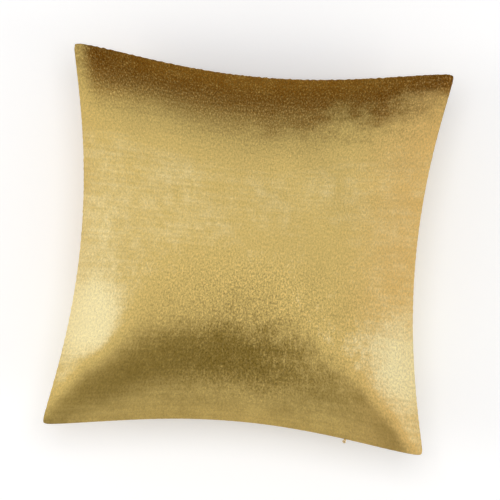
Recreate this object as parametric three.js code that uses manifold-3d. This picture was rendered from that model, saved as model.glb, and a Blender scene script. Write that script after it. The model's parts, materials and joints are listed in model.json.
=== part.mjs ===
// A square throw pillow lying on its back face: a crowned velvet cover with knife-edge seams,
// a concealed zip in the seam at -Y, and a fibre-filled insert.
// Millimetres. +Z is up, the origin is on the surface under the middle, and +Y is the top edge.
import * as THREE from "three";
import Module from "manifold-3d";

const wasm = await Module();
wasm.setup();

// Filled form
const SPAN = 435; // corner to corner along each side
const PULL_X = 27; // how far the middles of the X sides pull in
const PULL_Y = 21.5; // how far the middles of the Y sides pull in
const PULL_POWER_X = 1.1;
const PULL_POWER_Y = 1.45;
const CORNER_RADIUS = 6;
const CROWN = 78; // rise of each face above the seam
const CROWN_POWER = 0.5; // how round the faces fall to the seam
const CROWN_BREADTH = 2.3; // how broad they are in the middle
const REST_SINK = 8; // depth of the back crown that the surface presses flat

// Cover
const COVER_WALL = 1.2;
const COVER_ALLOWANCE = 12; // seam allowance turned inwards
const COVER_TURN = 2.6; // where the allowance leaves the fold
const LAYER_GAP = 0.4; // between two layers that lie on each other
const COVER_RINGS = 7;
const THREAD = 0.6;
const THREAD_OFFSET = 1.4; // lockstitch line past the turned layers
const OVERLOCK_WIDTH = 1.0;
const OVERLOCK_GAP = 0.3;

// Concealed zip, in the seam's own section: inset from the fold, and height from the seam
const ZIP_OPENING = 270;
const ZIP_TAPE_RUN_ON = 6; // tape past each end of the opening
const ZIP_EASE = 12; // length over which the seam closes again past the tape
const SLIT = 2.2; // between the two folds
const TAPE_WALL = 0.4;
const TAPE_SETBACK = 0.6; // of the web behind the turned cover
const TAPE_RUN_IN = 2.5; // of the leg past the cover's raw edge
const TAPE_SLIT = 1.8;
const TAPE_ROOM = 0.6; // between the slider and the tape
const COIL_DEPTH = 1.6;
const COIL_SLIT = 1.4;
const COIL_TOP = 2.4;
const COIL_RUN_IN = 4; // the coil stops this far short of the opening's end
const STOP_LENGTH = 2.4;
const STOP_GAP = 0.5;
const TACK_LENGTH = 3;
const TACK_DEPTH = 1.2;
const TACK_HEIGHT = 1.6;
const TAPE_STITCH_OFFSET = 1.7; // stitch line past the slider
const ZIP_STEPS = 14;

// Slider and pull, riding on the coils
const RUN_CLEARANCE = 0.4;
const SLIDER_LENGTH = 7;
const SLIDER_PLATE = 1.1;
const SLIDER_FLANGE = 0.6;
const NECK_THICK = 0.8;
const NECK_LENGTH = 2.4;
const BAIL_STAND_OFF = 1.3; // clear of the fold
const BAIL_PLATE = 0.6;
const BAIL_LUG = 0.7;
const BAIL_WIDTH = 2.2;
const POST_RADIUS = 0.5;
const TAB_WALL = 0.9;
const TAB_LENGTH = 20;
const TAB_HALF_WIDTH = 2.4;
const TAB_EYE_RADIUS = 1.45;
const ROUND_SIDES = 20;

// Insert
const INSERT_WALL = 0.6;
const INSERT_INSET = 5; // insert seam inside the cover's raw edge
const INSERT_CLEARANCE = 2.4;
const INSERT_ALLOWANCE = 7;
const INSERT_TURN = 1.2;
const INSERT_THREAD_INSET = 3.4;
const INSERT_RINGS = 6;
const FILL_CLEARANCE = 3.2;
const FILL_INSET = 2.2;

// Care label, folded into the seam allowance of the -X side
const LABEL_WIDTH = 25;
const LABEL_WALL = 0.6;
const LABEL_GAP = 0.8;
const LABEL_REACH = 30; // how far it reaches in from the fold
const LABEL_STEPS = 6;

const GOLD_VELVET = { color: 0xb98f4a, roughness: 0.42, metalness: 0.35 };
const GOLD_THREAD = { color: 0xa9823f, roughness: 0.6, metalness: 0.1 };
const ZIP_FABRIC = { color: 0xa37d3e, roughness: 0.8, metalness: 0 };
const ZIP_NYLON = { color: 0x9c7738, roughness: 0.45, metalness: 0 };
const ZIP_METAL = { color: 0xc39a4e, roughness: 0.3, metalness: 0.9 };
const CASING_CLOTH = { color: 0xf2efe8, roughness: 0.9, metalness: 0 };
const FIBRE = { color: 0xfbfaf6, roughness: 1, metalness: 0 };
const LABEL_SATIN = { color: 0xf4f2ec, roughness: 0.5, metalness: 0 };

const ZIP_SIDE = -1; // the seam at v = -1 holds the zip
const HALF = SPAN / 2;
const SEAM_HEIGHT = CROWN - REST_SINK;
const THREAD_INSET = COVER_TURN + COVER_WALL + THREAD_OFFSET;
const TAPE_INSET = COVER_TURN + TAPE_SETBACK;
const TAPE_END_INSET = COVER_ALLOWANCE + TAPE_RUN_IN;
const COIL_INSET = TAPE_INSET + TAPE_WALL + RUN_CLEARANCE;
const SLIDER_PLATE_INSET = COIL_INSET + COIL_DEPTH + TAPE_ROOM;
const FLANGE_LOW = COIL_TOP + RUN_CLEARANCE;
const FLANGE_HIGH = FLANGE_LOW + SLIDER_FLANGE;
const TAPE_HEIGHT = FLANGE_HIGH + TAPE_ROOM + TAPE_WALL;
const TAPE_STITCH_INSET = SLIDER_PLATE_INSET + SLIDER_PLATE + TAPE_STITCH_OFFSET;
const TAPE_HALF = ZIP_OPENING / 2 + ZIP_TAPE_RUN_ON;

// ---- The filled form -------------------------------------------------------------------

// A square form of half-width `half`, whose sides pull in between its corners.
// u and v run from -1 to 1 across it.
function squareForm(half) {
  const at = (u, v) => {
    const pullX = (PULL_X / half) * (1 - v * v) ** PULL_POWER_X;
    const pullY = (PULL_Y / half) * (1 - u * u) ** PULL_POWER_Y;
    return [half * u * (1 - pullX), half * v * (1 - pullY)];
  };
  const inset = (u, v, distance) => {
    const t = 1 - distance / half;
    return at(u * t, v * t);
  };
  return { half, at, inset };
}

// Rise of a face above the seam, from 1 in the middle to 0 at the seam.
function crownShare(u, v) {
  const across = 1 - Math.abs(u) ** CROWN_BREADTH;
  const along = 1 - Math.abs(v) ** CROWN_BREADTH;
  return (across * along) ** CROWN_POWER;
}

const coverForm = squareForm(HALF);
const insertForm = squareForm(HALF - COVER_ALLOWANCE - INSERT_INSET);
const fillForm = squareForm(insertForm.half - INSERT_ALLOWANCE - FILL_INSET);

// The zip follows the circle through the middle of the seam and the opening's two ends.
const zipArc = arcThrough(ZIP_OPENING / 2);

function arcThrough(halfChord) {
  const middle = coverForm.at(0, ZIP_SIDE)[1];
  const end = coverForm.at(halfChord / HALF, ZIP_SIDE)[1];
  const rise = middle - end;
  const radius = (halfChord ** 2 + rise ** 2) / (2 * rise);
  return { radius, centreY: middle - radius };
}

// The allowances stand off the tapes up to here, measured along the fold, and close past it.
const RAISED_HALF =
  (TAPE_HALF * (1 + TAPE_END_INSET / zipArc.radius)) / (1 - COVER_ALLOWANCE / HALF) + LAYER_GAP;
const PLAIN_START = RAISED_HALF + ZIP_EASE;


// The rim's points, anticlockwise from the middle of the zip side, as [u, v].
// `stops` are the places along half a side, as shares of it, before the rounded corner.
function rimPoints(form, stops) {
  const round = CORNER_RADIUS / form.half;
  const cornerSteps = 3;
  const points = [];
  for (let side = 0; side < 4; side++) {
    const along = [];
    for (const s of stops) along.push([s, ZIP_SIDE]);
    for (let i = 0; i <= cornerSteps; i++) {
      const a = (i / cornerSteps) * (Math.PI / 2);
      along.push([1 - round + round * Math.sin(a), -1 + round - round * Math.cos(a)]);
    }
    for (const s of stops.slice().reverse()) along.push([1, -s]);
    points.push(...along.map(([u, v]) => quarterTurned(u, v, side)));
  }
  return withoutRepeats(points);
}

function quarterTurned(u, v, turns) {
  for (let i = 0; i < turns; i++) [u, v] = [-v, u];
  return [u, v];
}

function withoutRepeats(points) {
  const apart = 1e-9;
  return points.filter(([u, v], i) => {
    const [pu, pv] = points[(i + points.length - 1) % points.length];
    return Math.hypot(u - pu, v - pv) > apart;
  });
}

// Places along half a cover side, with one where the seam starts to close and one where it has.
function coverStops() {
  const zipSteps = 3;
  const stops = [];
  for (let i = 0; i <= zipSteps; i++) stops.push((i / zipSteps) * (RAISED_HALF / HALF));
  const plain = PLAIN_START / HALF;
  const corner = 1 - CORNER_RADIUS / HALF;
  stops.push(plain, (plain + corner) / 2);
  return stops;
}

const COVER_RIM = rimPoints(coverForm, coverStops());
const INSERT_RIM = rimPoints(insertForm, [0, 0.3, 0.58, 0.82]);

// 1 along the zip, 0 where the seam is plain, and in between over the ease.
function zipShare(u, v) {
  if (v > ZIP_SIDE + 1e-6) return 0;
  const past = Math.abs(u) * HALF - RAISED_HALF;
  return 1 - THREE.MathUtils.clamp(past / ZIP_EASE, 0, 1);
}

// ---- Meshes ----------------------------------------------------------------------------

function geometryOf(positions, index) {
  const g = new THREE.BufferGeometry();
  g.setAttribute("position", new THREE.Float32BufferAttribute(positions, 3));
  g.setIndex(index);
  return facingOut(g);
}

// Turns every face round if the closed mesh is inside out.
function facingOut(geometry) {
  const p = geometry.getAttribute("position");
  const index = geometry.getIndex().array;
  const [a, b, c] = [new THREE.Vector3(), new THREE.Vector3(), new THREE.Vector3()];
  let volume = 0;
  for (let i = 0; i < index.length; i += 3) {
    a.fromBufferAttribute(p, index[i]);
    b.fromBufferAttribute(p, index[i + 1]);
    c.fromBufferAttribute(p, index[i + 2]);
    volume += a.dot(b.cross(c));
  }
  if (volume < 0)
    for (let i = 0; i < index.length; i += 3)
      [index[i + 1], index[i + 2]] = [index[i + 2], index[i + 1]];
  return geometry;
}

// Closed skin over rings of equal length, with a pole at each end. The inner half of the rings
// is cut into triangles as the outer half is, so that a thin wall stays a wall all over.
function ringSkin(startPole, rings, endPole) {
  const count = rings[0].length;
  const positions = [...startPole];
  for (const ring of rings) for (const point of ring) positions.push(...point);
  positions.push(...endPole);
  const at = (r, i) => 1 + r * count + (i % count);
  const last = 1 + rings.length * count;
  const index = [];
  for (let i = 0; i < count; i++) {
    index.push(0, at(0, i), at(0, i + 1));
    for (let r = 0; r + 1 < rings.length; r++) {
      const [a, b] = [at(r, i), at(r + 1, i)];
      const [c, d] = [at(r + 1, i + 1), at(r, i + 1)];
      if (r < rings.length / 2) index.push(a, b, c, a, c, d);
      else index.push(a, b, d, b, c, d);
    }
    index.push(last, at(rings.length - 1, i + 1), at(rings.length - 1, i));
  }
  return geometryOf(positions, index);
}

// A closed section of [inset, height] points, carried over a row of frames and capped.
// Each frame turns an inset and a height into a place.
function sweptSection(frames, section) {
  const count = section.length;
  const positions = [];
  for (const frame of frames) for (const [d, z] of section) positions.push(...frame(d, z));
  const index = [];
  for (let f = 0; f + 1 < frames.length; f++)
    for (let j = 0; j < count; j++) {
      const k = (j + 1) % count;
      const near = f * count;
      const far = near + count;
      index.push(near + j, near + k, far + k, near + j, far + k, far + j);
    }
  const outline = section.map(([d, z]) => new THREE.Vector2(d, z));
  const cap = THREE.ShapeUtils.triangulateShape(outline, []);
  const ccw = THREE.ShapeUtils.isClockWise(outline) ? -1 : 1;
  const farBase = (frames.length - 1) * count;
  for (const [a, b, c] of cap) {
    const [p, q, r] = ccw > 0 ? [a, b, c] : [a, c, b];
    const flip = THREE.ShapeUtils.isClockWise([outline[p], outline[q], outline[r]]);
    const [s, t] = flip === (ccw < 0) ? [q, r] : [r, q];
    index.push(p, t, s, farBase + p, farBase + s, farBase + t);
  }
  return geometryOf(positions, index);
}

function box([d0, d1], [z0, z1]) {
  return [[d0, z0], [d1, z0], [d1, z1], [d0, z1]];
}

// The same section below the seam instead of above it.
function below(section) {
  return section.map(([d, z]) => [d, -z]).reverse();
}

// Frames along a form's seam at the given rim points.
function seamFrames(form, points) {
  return points.map(([u, v]) => (d, z) => [...form.inset(u, v, d), SEAM_HEIGHT + z]);
}

// ---- Cover and casing panels -----------------------------------------------------------

// Height of a skin above the seam, `lower` than the cover's outside in the middle.
// The back face is pressed flat by the surface.
function faceHeight(u, v, lower, isBack) {
  const full = (CROWN - lower) * crownShare(u, v);
  return isBack ? Math.min(full, SEAM_HEIGHT - lower) : full;
}

// One panel as a closed shell: crowned outside, turned at the fold into its seam allowance,
// and back up inside. `shape` says which form, how thick, and how the seam is dressed.
function panel(shape) {
  const { form, rim, rings, wall, lower, isBack, turn, allowance, foldHeight, allowanceHeight } =
    shape;
  const side = isBack ? -1 : 1;
  const place = (u, v, z) => [...form.at(u, v), SEAM_HEIGHT + side * z];
  const seamRing = (distance, height) =>
    rim.map(([u, v]) => {
      const [x, y] = form.inset(u, v, distance);
      return [x, y, SEAM_HEIGHT + side * height(u, v)];
    });
  const shares = [];
  for (let i = 1; i < rings; i++) shares.push(Math.sin((i / rings) * (Math.PI / 2)));
  const skin = (extra) => {
    const shrink = 1 - extra / form.half;
    return shares.map((t) =>
      rim.map(([u, v]) => {
        const height = faceHeight(u * t, v * t, lower + extra, isBack);
        return place(u * t * shrink, v * t * shrink, height);
      }),
    );
  };
  const top = (u, v) => allowanceHeight(u, v) + wall;
  const all = [
    ...skin(0),
    seamRing(0, foldHeight),
    seamRing(turn, allowanceHeight),
    seamRing(allowance, allowanceHeight),
    seamRing(allowance, top),
    seamRing(turn + wall, top),
    ...skin(wall).reverse(),
  ];
  const outerPole = place(0, 0, faceHeight(0, 0, lower, isBack));
  const innerPole = place(0, 0, faceHeight(0, 0, lower + wall, isBack));
  return ringSkin(outerPole, all, innerPole);
}

function coverPanel(isBack) {
  const plain = LAYER_GAP / 2;
  const raised = TAPE_HEIGHT + LAYER_GAP;
  return panel({
    form: coverForm,
    rim: COVER_RIM,
    rings: COVER_RINGS,
    wall: COVER_WALL,
    lower: 0,
    isBack,
    turn: COVER_TURN,
    allowance: COVER_ALLOWANCE,
    foldHeight: (u, v) => THREE.MathUtils.lerp(plain, SLIT / 2, zipShare(u, v)),
    allowanceHeight: (u, v) => THREE.MathUtils.lerp(plain, raised, zipShare(u, v)),
  });
}

function casingPanel(isBack) {
  return panel({
    form: insertForm,
    rim: INSERT_RIM,
    rings: INSERT_RINGS,
    wall: INSERT_WALL,
    lower: COVER_WALL + INSERT_CLEARANCE,
    isBack,
    turn: INSERT_TURN,
    allowance: INSERT_ALLOWANCE,
    foldHeight: () => LAYER_GAP / 2,
    allowanceHeight: () => LAYER_GAP / 2,
  });
}

// The fibre fill: two faces that meet in an edge at the seam.
function fibreFill() {
  const lower = COVER_WALL + INSERT_CLEARANCE + INSERT_WALL + FILL_CLEARANCE;
  const shares = [];
  for (let i = 1; i < INSERT_RINGS; i++)
    shares.push(Math.sin((i / INSERT_RINGS) * (Math.PI / 2)));
  const face = (side) =>
    shares.map((t) =>
      INSERT_RIM.map(([u, v]) => {
        const height = faceHeight(u * t, v * t, lower, side < 0);
        return [...fillForm.at(u * t, v * t), SEAM_HEIGHT + side * height];
      }),
    );
  const edge = INSERT_RIM.map(([u, v]) => [...fillForm.at(u, v), SEAM_HEIGHT]);
  const top = [0, 0, SEAM_HEIGHT + faceHeight(0, 0, lower, false)];
  const bottom = [0, 0, SEAM_HEIGHT - faceHeight(0, 0, lower, true)];
  return ringSkin(top, [...face(1), edge, ...face(-1).reverse()], bottom);
}

// ---- Threads, overlock and label -------------------------------------------------------

const PLAIN_POINTS = COVER_RIM.filter(([u, v]) => zipShare(u, v) === 0);

function seamThread() {
  const low = LAYER_GAP / 2 + COVER_WALL + LAYER_GAP;
  const section = box([THREAD_INSET, THREAD_INSET + THREAD], [low, low + THREAD]);
  return sweptSection(seamFrames(coverForm, PLAIN_POINTS), section);
}

function overlockPlainSides() {
  const inner = COVER_ALLOWANCE + OVERLOCK_GAP;
  const reach = LAYER_GAP / 2 + COVER_WALL + OVERLOCK_GAP;
  const section = box([inner, inner + OVERLOCK_WIDTH], [-reach, reach]);
  return sweptSection(seamFrames(coverForm, PLAIN_POINTS), section);
}

function overlockZipSide(turned) {
  const inner = COVER_ALLOWANCE + OVERLOCK_GAP;
  const low = TAPE_HEIGHT + LAYER_GAP;
  const section = box([inner, inner + OVERLOCK_WIDTH], [low, low + COVER_WALL + OVERLOCK_GAP]);
  const points = [];
  for (let i = 0; i <= ZIP_STEPS; i++)
    points.push([((i / ZIP_STEPS) * 2 - 1) * (TAPE_HALF / HALF), ZIP_SIDE]);
  return sweptSection(seamFrames(coverForm, points), turned(section));
}

function insertSeamThread() {
  const low = LAYER_GAP / 2 + INSERT_WALL + LAYER_GAP;
  const inner = INSERT_THREAD_INSET;
  const section = box([inner, inner + THREAD], [low, low + THREAD]);
  const points = INSERT_RIM.slice(1);
  return sweptSection(seamFrames(insertForm, points), section);
}

// A folded strip that leaves the raw edge and lies between the cover and the insert.
function careLabel() {
  const start = COVER_ALLOWANCE + OVERLOCK_GAP + OVERLOCK_WIDTH + LABEL_GAP;
  const foot = COVER_WALL + LAYER_GAP * 2;
  const line = [[THREAD_INSET + THREAD + LABEL_GAP, foot + OVERLOCK_GAP]];
  for (let i = 0; i <= LABEL_STEPS; i++) {
    const d = THREE.MathUtils.lerp(start - LABEL_GAP, LABEL_REACH, i / LABEL_STEPS);
    const coverInside = CROWN * crownShare(1 - d / HALF, 0) - COVER_WALL;
    const depth = (d + COVER_WALL - COVER_ALLOWANCE - INSERT_INSET) / insertForm.half;
    const share = depth > 0 ? crownShare(1 - depth, 0) : 0;
    line.push([d, THREE.MathUtils.lerp(CROWN * share, coverInside, 0.55)]);
  }
  const under = line.map(([d, z]) => [d + LABEL_WALL, z - LABEL_WALL]).reverse();
  const half = LABEL_WIDTH / 2 / HALF;
  const points = [[-1, half], [-1, -half]];
  return sweptSection(seamFrames(coverForm, points), [...line, ...under]);
}

// ---- Zip -------------------------------------------------------------------------------

function zipAngle(x) {
  return Math.asin(x / zipArc.radius);
}

// Frames along the zip between two places across the opening.
function zipFrames(fromX, toX, steps) {
  const frames = [];
  for (let i = 0; i <= steps; i++) {
    const a = THREE.MathUtils.lerp(zipAngle(fromX), zipAngle(toX), i / steps);
    frames.push((d, z) => {
      const r = zipArc.radius + d;
      return [r * Math.sin(a), zipArc.centreY + r * Math.cos(a), SEAM_HEIGHT + z];
    });
  }
  return frames;
}

function above(section) {
  return section;
}

// An angle section: a web beside the slit and a leg sewn under the allowance.
function zipTape(turned) {
  const legLow = TAPE_HEIGHT - TAPE_WALL;
  const section = [
    [TAPE_INSET, TAPE_SLIT / 2],
    [TAPE_INSET + TAPE_WALL, TAPE_SLIT / 2],
    [TAPE_INSET + TAPE_WALL, legLow],
    [TAPE_END_INSET, legLow],
    [TAPE_END_INSET, TAPE_HEIGHT],
    [TAPE_INSET, TAPE_HEIGHT],
  ];
  return sweptSection(zipFrames(-TAPE_HALF, TAPE_HALF, ZIP_STEPS), turned(section));
}

const COIL_BOX = box([COIL_INSET, COIL_INSET + COIL_DEPTH], [COIL_SLIT / 2, COIL_TOP]);
const COIL_HALF = ZIP_OPENING / 2 - COIL_RUN_IN;

function zipCoil(turned) {
  return sweptSection(zipFrames(-COIL_HALF, COIL_HALF, ZIP_STEPS), turned(COIL_BOX));
}

function zipStitching(turned) {
  const high = TAPE_HEIGHT - TAPE_WALL - LAYER_GAP / 2;
  const inner = TAPE_STITCH_INSET;
  const section = box([inner, inner + THREAD], [high - LAYER_GAP, high]);
  return sweptSection(zipFrames(-TAPE_HALF, TAPE_HALF, ZIP_STEPS), turned(section));
}

function zipTopStop(turned) {
  const from = COIL_HALF + STOP_GAP;
  return sweptSection(zipFrames(from, from + STOP_LENGTH, 1), turned(COIL_BOX));
}

function zipBottomStop() {
  const from = -COIL_HALF - STOP_GAP;
  const section = box([COIL_INSET, COIL_INSET + COIL_DEPTH], [-COIL_TOP, COIL_TOP]);
  return sweptSection(zipFrames(from - STOP_LENGTH, from, 1), section);
}

// Dense stitches across the slit, just past the opening's end on the given side.
function barTack(side) {
  const near = ZIP_OPENING / 2;
  const inner = (TAPE_INSET - TACK_DEPTH) / 2;
  const section = box([inner, inner + TACK_DEPTH], [-TACK_HEIGHT / 2, TACK_HEIGHT / 2]);
  const ends = [side * near, side * (near + TACK_LENGTH)].sort((a, b) => a - b);
  return sweptSection(zipFrames(ends[0], ends[1], 1), section);
}

// ---- Slider and pull: X along the zip, Y inwards, Z up, at the fold --------------------

const SLIDER_X = COIL_HALF - SLIDER_LENGTH / 2;
const POST_Y = -(BAIL_STAND_OFF + BAIL_PLATE + TAB_EYE_RADIUS + RUN_CLEARANCE);
const LUG_LOW = TAB_WALL / 2 + RUN_CLEARANCE;

function solidOf(geometry) {
  const plain = geometry.index ? geometry.toNonIndexed() : geometry;
  const p = plain.getAttribute("position").array;
  const keys = new Map();
  const vertices = [];
  const triVerts = new Uint32Array(p.length / 3);
  for (let i = 0; i < triVerts.length; i++) {
    const point = [p[3 * i], p[3 * i + 1], p[3 * i + 2]].map((c) => Math.round(c * 1e5) / 1e5);
    const key = point.join();
    if (!keys.has(key)) {
      keys.set(key, keys.size);
      vertices.push(...point);
    }
    triVerts[i] = keys.get(key);
  }
  const vertProperties = new Float32Array(vertices);
  return new wasm.Manifold(new wasm.Mesh({ numProp: 3, vertProperties, triVerts }));
}

function geometryFrom(solid) {
  const mesh = solid.getMesh();
  return geometryOf(Array.from(mesh.vertProperties), Array.from(mesh.triVerts));
}

function block([x0, x1], [y0, y1], [z0, z1]) {
  const g = new THREE.BoxGeometry(x1 - x0, y1 - y0, z1 - z0);
  g.translate((x0 + x1) / 2, (y0 + y1) / 2, (z0 + z1) / 2);
  return solidOf(g);
}

function upright(radius, halfHeight, y) {
  const g = new THREE.CylinderGeometry(radius, radius, halfHeight * 2, ROUND_SIDES);
  g.rotateX(Math.PI / 2);
  g.translate(0, y, 0);
  return solidOf(g);
}

function joined(solids) {
  return solids.reduce((whole, next) => whole.add(next));
}

// What is made along -X on an upright post, turned to hang down from a level one.
function hung(solid) {
  return solid.rotate([0, -90, 0]);
}

function centred(length) {
  return [-length / 2, length / 2];
}

function sliderBody() {
  const plateHigh = SLIDER_PLATE_INSET + SLIDER_PLATE;
  const neckEnd = SLIDER_PLATE_INSET + SLIDER_PLATE / 2;
  const flangeEnd = TAPE_INSET + TAPE_WALL + TAPE_ROOM;
  const along = centred(SLIDER_LENGTH);
  const lugTop = LUG_LOW + BAIL_LUG;
  const bailFace = -BAIL_STAND_OFF - BAIL_PLATE;
  const across = centred(BAIL_WIDTH);
  const reach = [POST_Y, bailFace + BAIL_PLATE / 2];
  return geometryFrom(
    joined([
      block(along, [SLIDER_PLATE_INSET, plateHigh], [-FLANGE_HIGH, FLANGE_HIGH]),
      block(along, [flangeEnd, plateHigh], [FLANGE_LOW, FLANGE_HIGH]),
      block(along, [flangeEnd, plateHigh], [-FLANGE_HIGH, -FLANGE_LOW]),
      block(centred(NECK_LENGTH), [bailFace, neckEnd], centred(NECK_THICK)),
      hung(
        joined([
          block(across, [bailFace, -BAIL_STAND_OFF], [-lugTop, lugTop]),
          block(across, reach, [LUG_LOW, lugTop]),
          block(across, reach, [-lugTop, -LUG_LOW]),
          upright(BAIL_WIDTH / 2, lugTop, POST_Y).subtract(
            block(centred(SPAN), centred(SPAN), [-LUG_LOW, LUG_LOW]),
          ),
          upright(POST_RADIUS, lugTop, POST_Y),
        ]),
      ),
    ]),
  );
}

// A teardrop blade on an eye round the post, hanging down beside the seam.
function pullTab() {
  const eye = upright(TAB_EYE_RADIUS, TAB_WALL / 2, 0).subtract(
    upright(POST_RADIUS + RUN_CLEARANCE, TAB_WALL, 0),
  );
  const shankEnd = -TAB_EYE_RADIUS * 2.4;
  const shankStart = -(POST_RADIUS + RUN_CLEARANCE + 0.1);
  const shank = block([shankEnd - 1, shankStart], centred(TAB_WALL), centred(TAB_WALL));
  const tip = -TAB_LENGTH;
  const blade = new THREE.Shape();
  blade.moveTo(shankEnd, TAB_WALL / 2);
  const belly = tip + TAB_HALF_WIDTH;
  blade.bezierCurveTo(shankEnd - 5, 1, belly + 4, TAB_HALF_WIDTH, belly, TAB_HALF_WIDTH);
  blade.absarc(belly, 0, TAB_HALF_WIDTH, Math.PI / 2, (Math.PI * 3) / 2, false);
  blade.bezierCurveTo(belly + 4, -TAB_HALF_WIDTH, shankEnd - 5, -1, shankEnd, -TAB_WALL / 2);
  blade.closePath();
  const extruded = new THREE.ExtrudeGeometry(blade, {
    depth: TAB_WALL,
    bevelEnabled: false,
    curveSegments: 8,
  });
  extruded.rotateX(Math.PI / 2);
  extruded.translate(0, TAB_WALL / 2, 0);
  return geometryFrom(hung(joined([eye, shank, solidOf(extruded)])));
}

// ---- Assembly --------------------------------------------------------------------------

function named(name, geometry, finish) {
  geometry.computeVertexNormals();
  const mesh = new THREE.Mesh(geometry, new THREE.MeshStandardMaterial(finish));
  mesh.name = name;
  return mesh;
}

function coverGroup() {
  const group = new THREE.Group();
  group.add(
    named("cover_front", coverPanel(false), GOLD_VELVET),
    named("cover_back", coverPanel(true), GOLD_VELVET),
    named("seam_thread", seamThread(), GOLD_THREAD),
    named("overlock_plain_sides", overlockPlainSides(), GOLD_THREAD),
    named("overlock_zip_front", overlockZipSide(above), GOLD_THREAD),
    named("overlock_zip_back", overlockZipSide(below), GOLD_THREAD),
    named("care_label", careLabel(), LABEL_SATIN),
  );
  return group;
}

function zipGroup() {
  const group = new THREE.Group();
  for (const [face, turned] of [["front", above], ["back", below]])
    group.add(
      named("zip_tape_" + face, zipTape(turned), ZIP_FABRIC),
      named("zip_coil_" + face, zipCoil(turned), ZIP_NYLON),
      named("zip_stitching_" + face, zipStitching(turned), GOLD_THREAD),
      named("zip_top_stop_" + face, zipTopStop(turned), ZIP_METAL),
    );
  group.add(
    named("zip_bottom_stop", zipBottomStop(), ZIP_METAL),
    named("bar_tack_left", barTack(-1), GOLD_THREAD),
    named("bar_tack_right", barTack(1), GOLD_THREAD),
  );
  return group;
}

// The slider at the closed end, with its pull, turned to the zip's direction there.
function sliderGroup() {
  const group = new THREE.Group();
  const angle = zipAngle(SLIDER_X);
  group.position.set(
    zipArc.radius * Math.sin(angle),
    zipArc.centreY + zipArc.radius * Math.cos(angle),
    SEAM_HEIGHT,
  );
  group.rotation.z = -angle;
  const tab = named("zip_pull_tab", pullTab(), ZIP_METAL);
  tab.position.y = POST_Y;
  group.add(named("zip_slider_body", sliderBody(), ZIP_METAL), tab);
  return group;
}

function insertGroup() {
  const group = new THREE.Group();
  group.add(
    named("insert_front", casingPanel(false), CASING_CLOTH),
    named("insert_back", casingPanel(true), CASING_CLOTH),
    named("insert_seam_thread", insertSeamThread(), CASING_CLOTH),
    named("fibre_fill", fibreFill(), FIBRE),
  );
  return group;
}

const pillow = new THREE.Group();
pillow.add(coverGroup(), zipGroup(), sliderGroup(), insertGroup());

export default pillow;
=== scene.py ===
"""Looks of a square throw pillow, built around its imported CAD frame.

The outer cover, its hidden zip, the inner casing and its filling are surfaces worked out on grids, in
metres and in the frame's own axes: +Z is up, the zip is in the seam on the -Y side, and the back face lies
on the floor. The shape of the stuffed cloth comes from a cloth simulation of two flat panels that are sewn
along their edges.
"""

import json
import logging
import math
from dataclasses import dataclass
from enum import Enum
from typing import Any, Sequence

import bpy
import numpy as np
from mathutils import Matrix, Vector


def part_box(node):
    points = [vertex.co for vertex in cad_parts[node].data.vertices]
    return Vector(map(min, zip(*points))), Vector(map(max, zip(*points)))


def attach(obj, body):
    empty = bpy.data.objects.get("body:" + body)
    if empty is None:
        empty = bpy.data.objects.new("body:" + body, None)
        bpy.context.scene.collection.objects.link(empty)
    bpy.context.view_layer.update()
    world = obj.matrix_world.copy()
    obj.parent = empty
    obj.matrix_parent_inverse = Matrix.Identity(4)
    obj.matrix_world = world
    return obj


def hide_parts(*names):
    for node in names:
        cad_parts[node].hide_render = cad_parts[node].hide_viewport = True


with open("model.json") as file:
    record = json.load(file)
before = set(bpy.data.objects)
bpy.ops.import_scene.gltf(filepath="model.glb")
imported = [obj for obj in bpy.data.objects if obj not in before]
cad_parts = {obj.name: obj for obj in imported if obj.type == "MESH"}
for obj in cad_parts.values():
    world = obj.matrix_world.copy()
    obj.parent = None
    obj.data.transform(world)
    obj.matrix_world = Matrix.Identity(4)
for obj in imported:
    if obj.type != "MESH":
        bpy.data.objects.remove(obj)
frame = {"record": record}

MM = 0.001
PILLOW = "pillow"
SLIDER = "zip_slider"
TAB = "pull_tab"
CLOTH_MAP = "cloth"
VELVET_HALF = 0.23
UP = np.array([0.0, 0.0, 1.0])
SLANT = (0.3, 0.2, 1.0)
LOOP_POINTS = 12
RIM_STEPS = 401

log = logging.getLogger("pillow")


class Side(Enum):
    """Which way a panel faces: up from the seam, or down onto the floor."""

    FRONT = 1
    BACK = -1

    @property
    def label(self) -> str:
        """The side as it stands in the names of pieces."""
        return self.name.lower()


# ------------------------------------------- Shader building -------------------------------------------


class Value:
    """A shader socket that takes part in sums as a number does. Each sum adds a Math node."""

    def __init__(self, shader: "Shader", socket: bpy.types.NodeSocket) -> None:
        """Wraps one output socket of a shader's node."""
        self.shader = shader
        self.socket = socket

    def _sum(self, operation: str, *terms: Any) -> "Value":
        """Adds a Math node with that operation on the terms."""
        return self.shader.add("ShaderNodeMath", {"operation": operation}, dict(enumerate(terms)))

    def __add__(self, other: Any) -> "Value":
        """self + other."""
        return self._sum("ADD", self, other)

    def __sub__(self, other: Any) -> "Value":
        """self - other."""
        return self._sum("SUBTRACT", self, other)

    def __rsub__(self, other: Any) -> "Value":
        """other - self."""
        return self._sum("SUBTRACT", other, self)

    def __mul__(self, other: Any) -> "Value":
        """self * other."""
        return self._sum("MULTIPLY", self, other)

    def __neg__(self) -> "Value":
        """-self."""
        return self * -1.0

    __radd__ = __add__
    __rmul__ = __mul__

    def sine(self) -> "Value":
        """The sine of the value, in radians."""
        return self._sum("SINE", self)

    def hill(self, centre: float, width: float) -> "Value":
        """A hill of height 1 at its centre: e to the power of minus the squared distance in widths."""
        away = (self - centre) * (1.0 / width)
        return self._sum("EXPONENT", -(away * away))

    def rise(self, low: Any, high: float) -> "Value":
        """A smooth step from 0 at low to 1 at high, which may be the smaller of the two."""
        settings = {"interpolation_type": "SMOOTHSTEP", "clamp": True}
        inputs = {"Value": self, "From Min": low, "From Max": high}
        return self.shader.add("ShaderNodeMapRange", settings, inputs)


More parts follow.
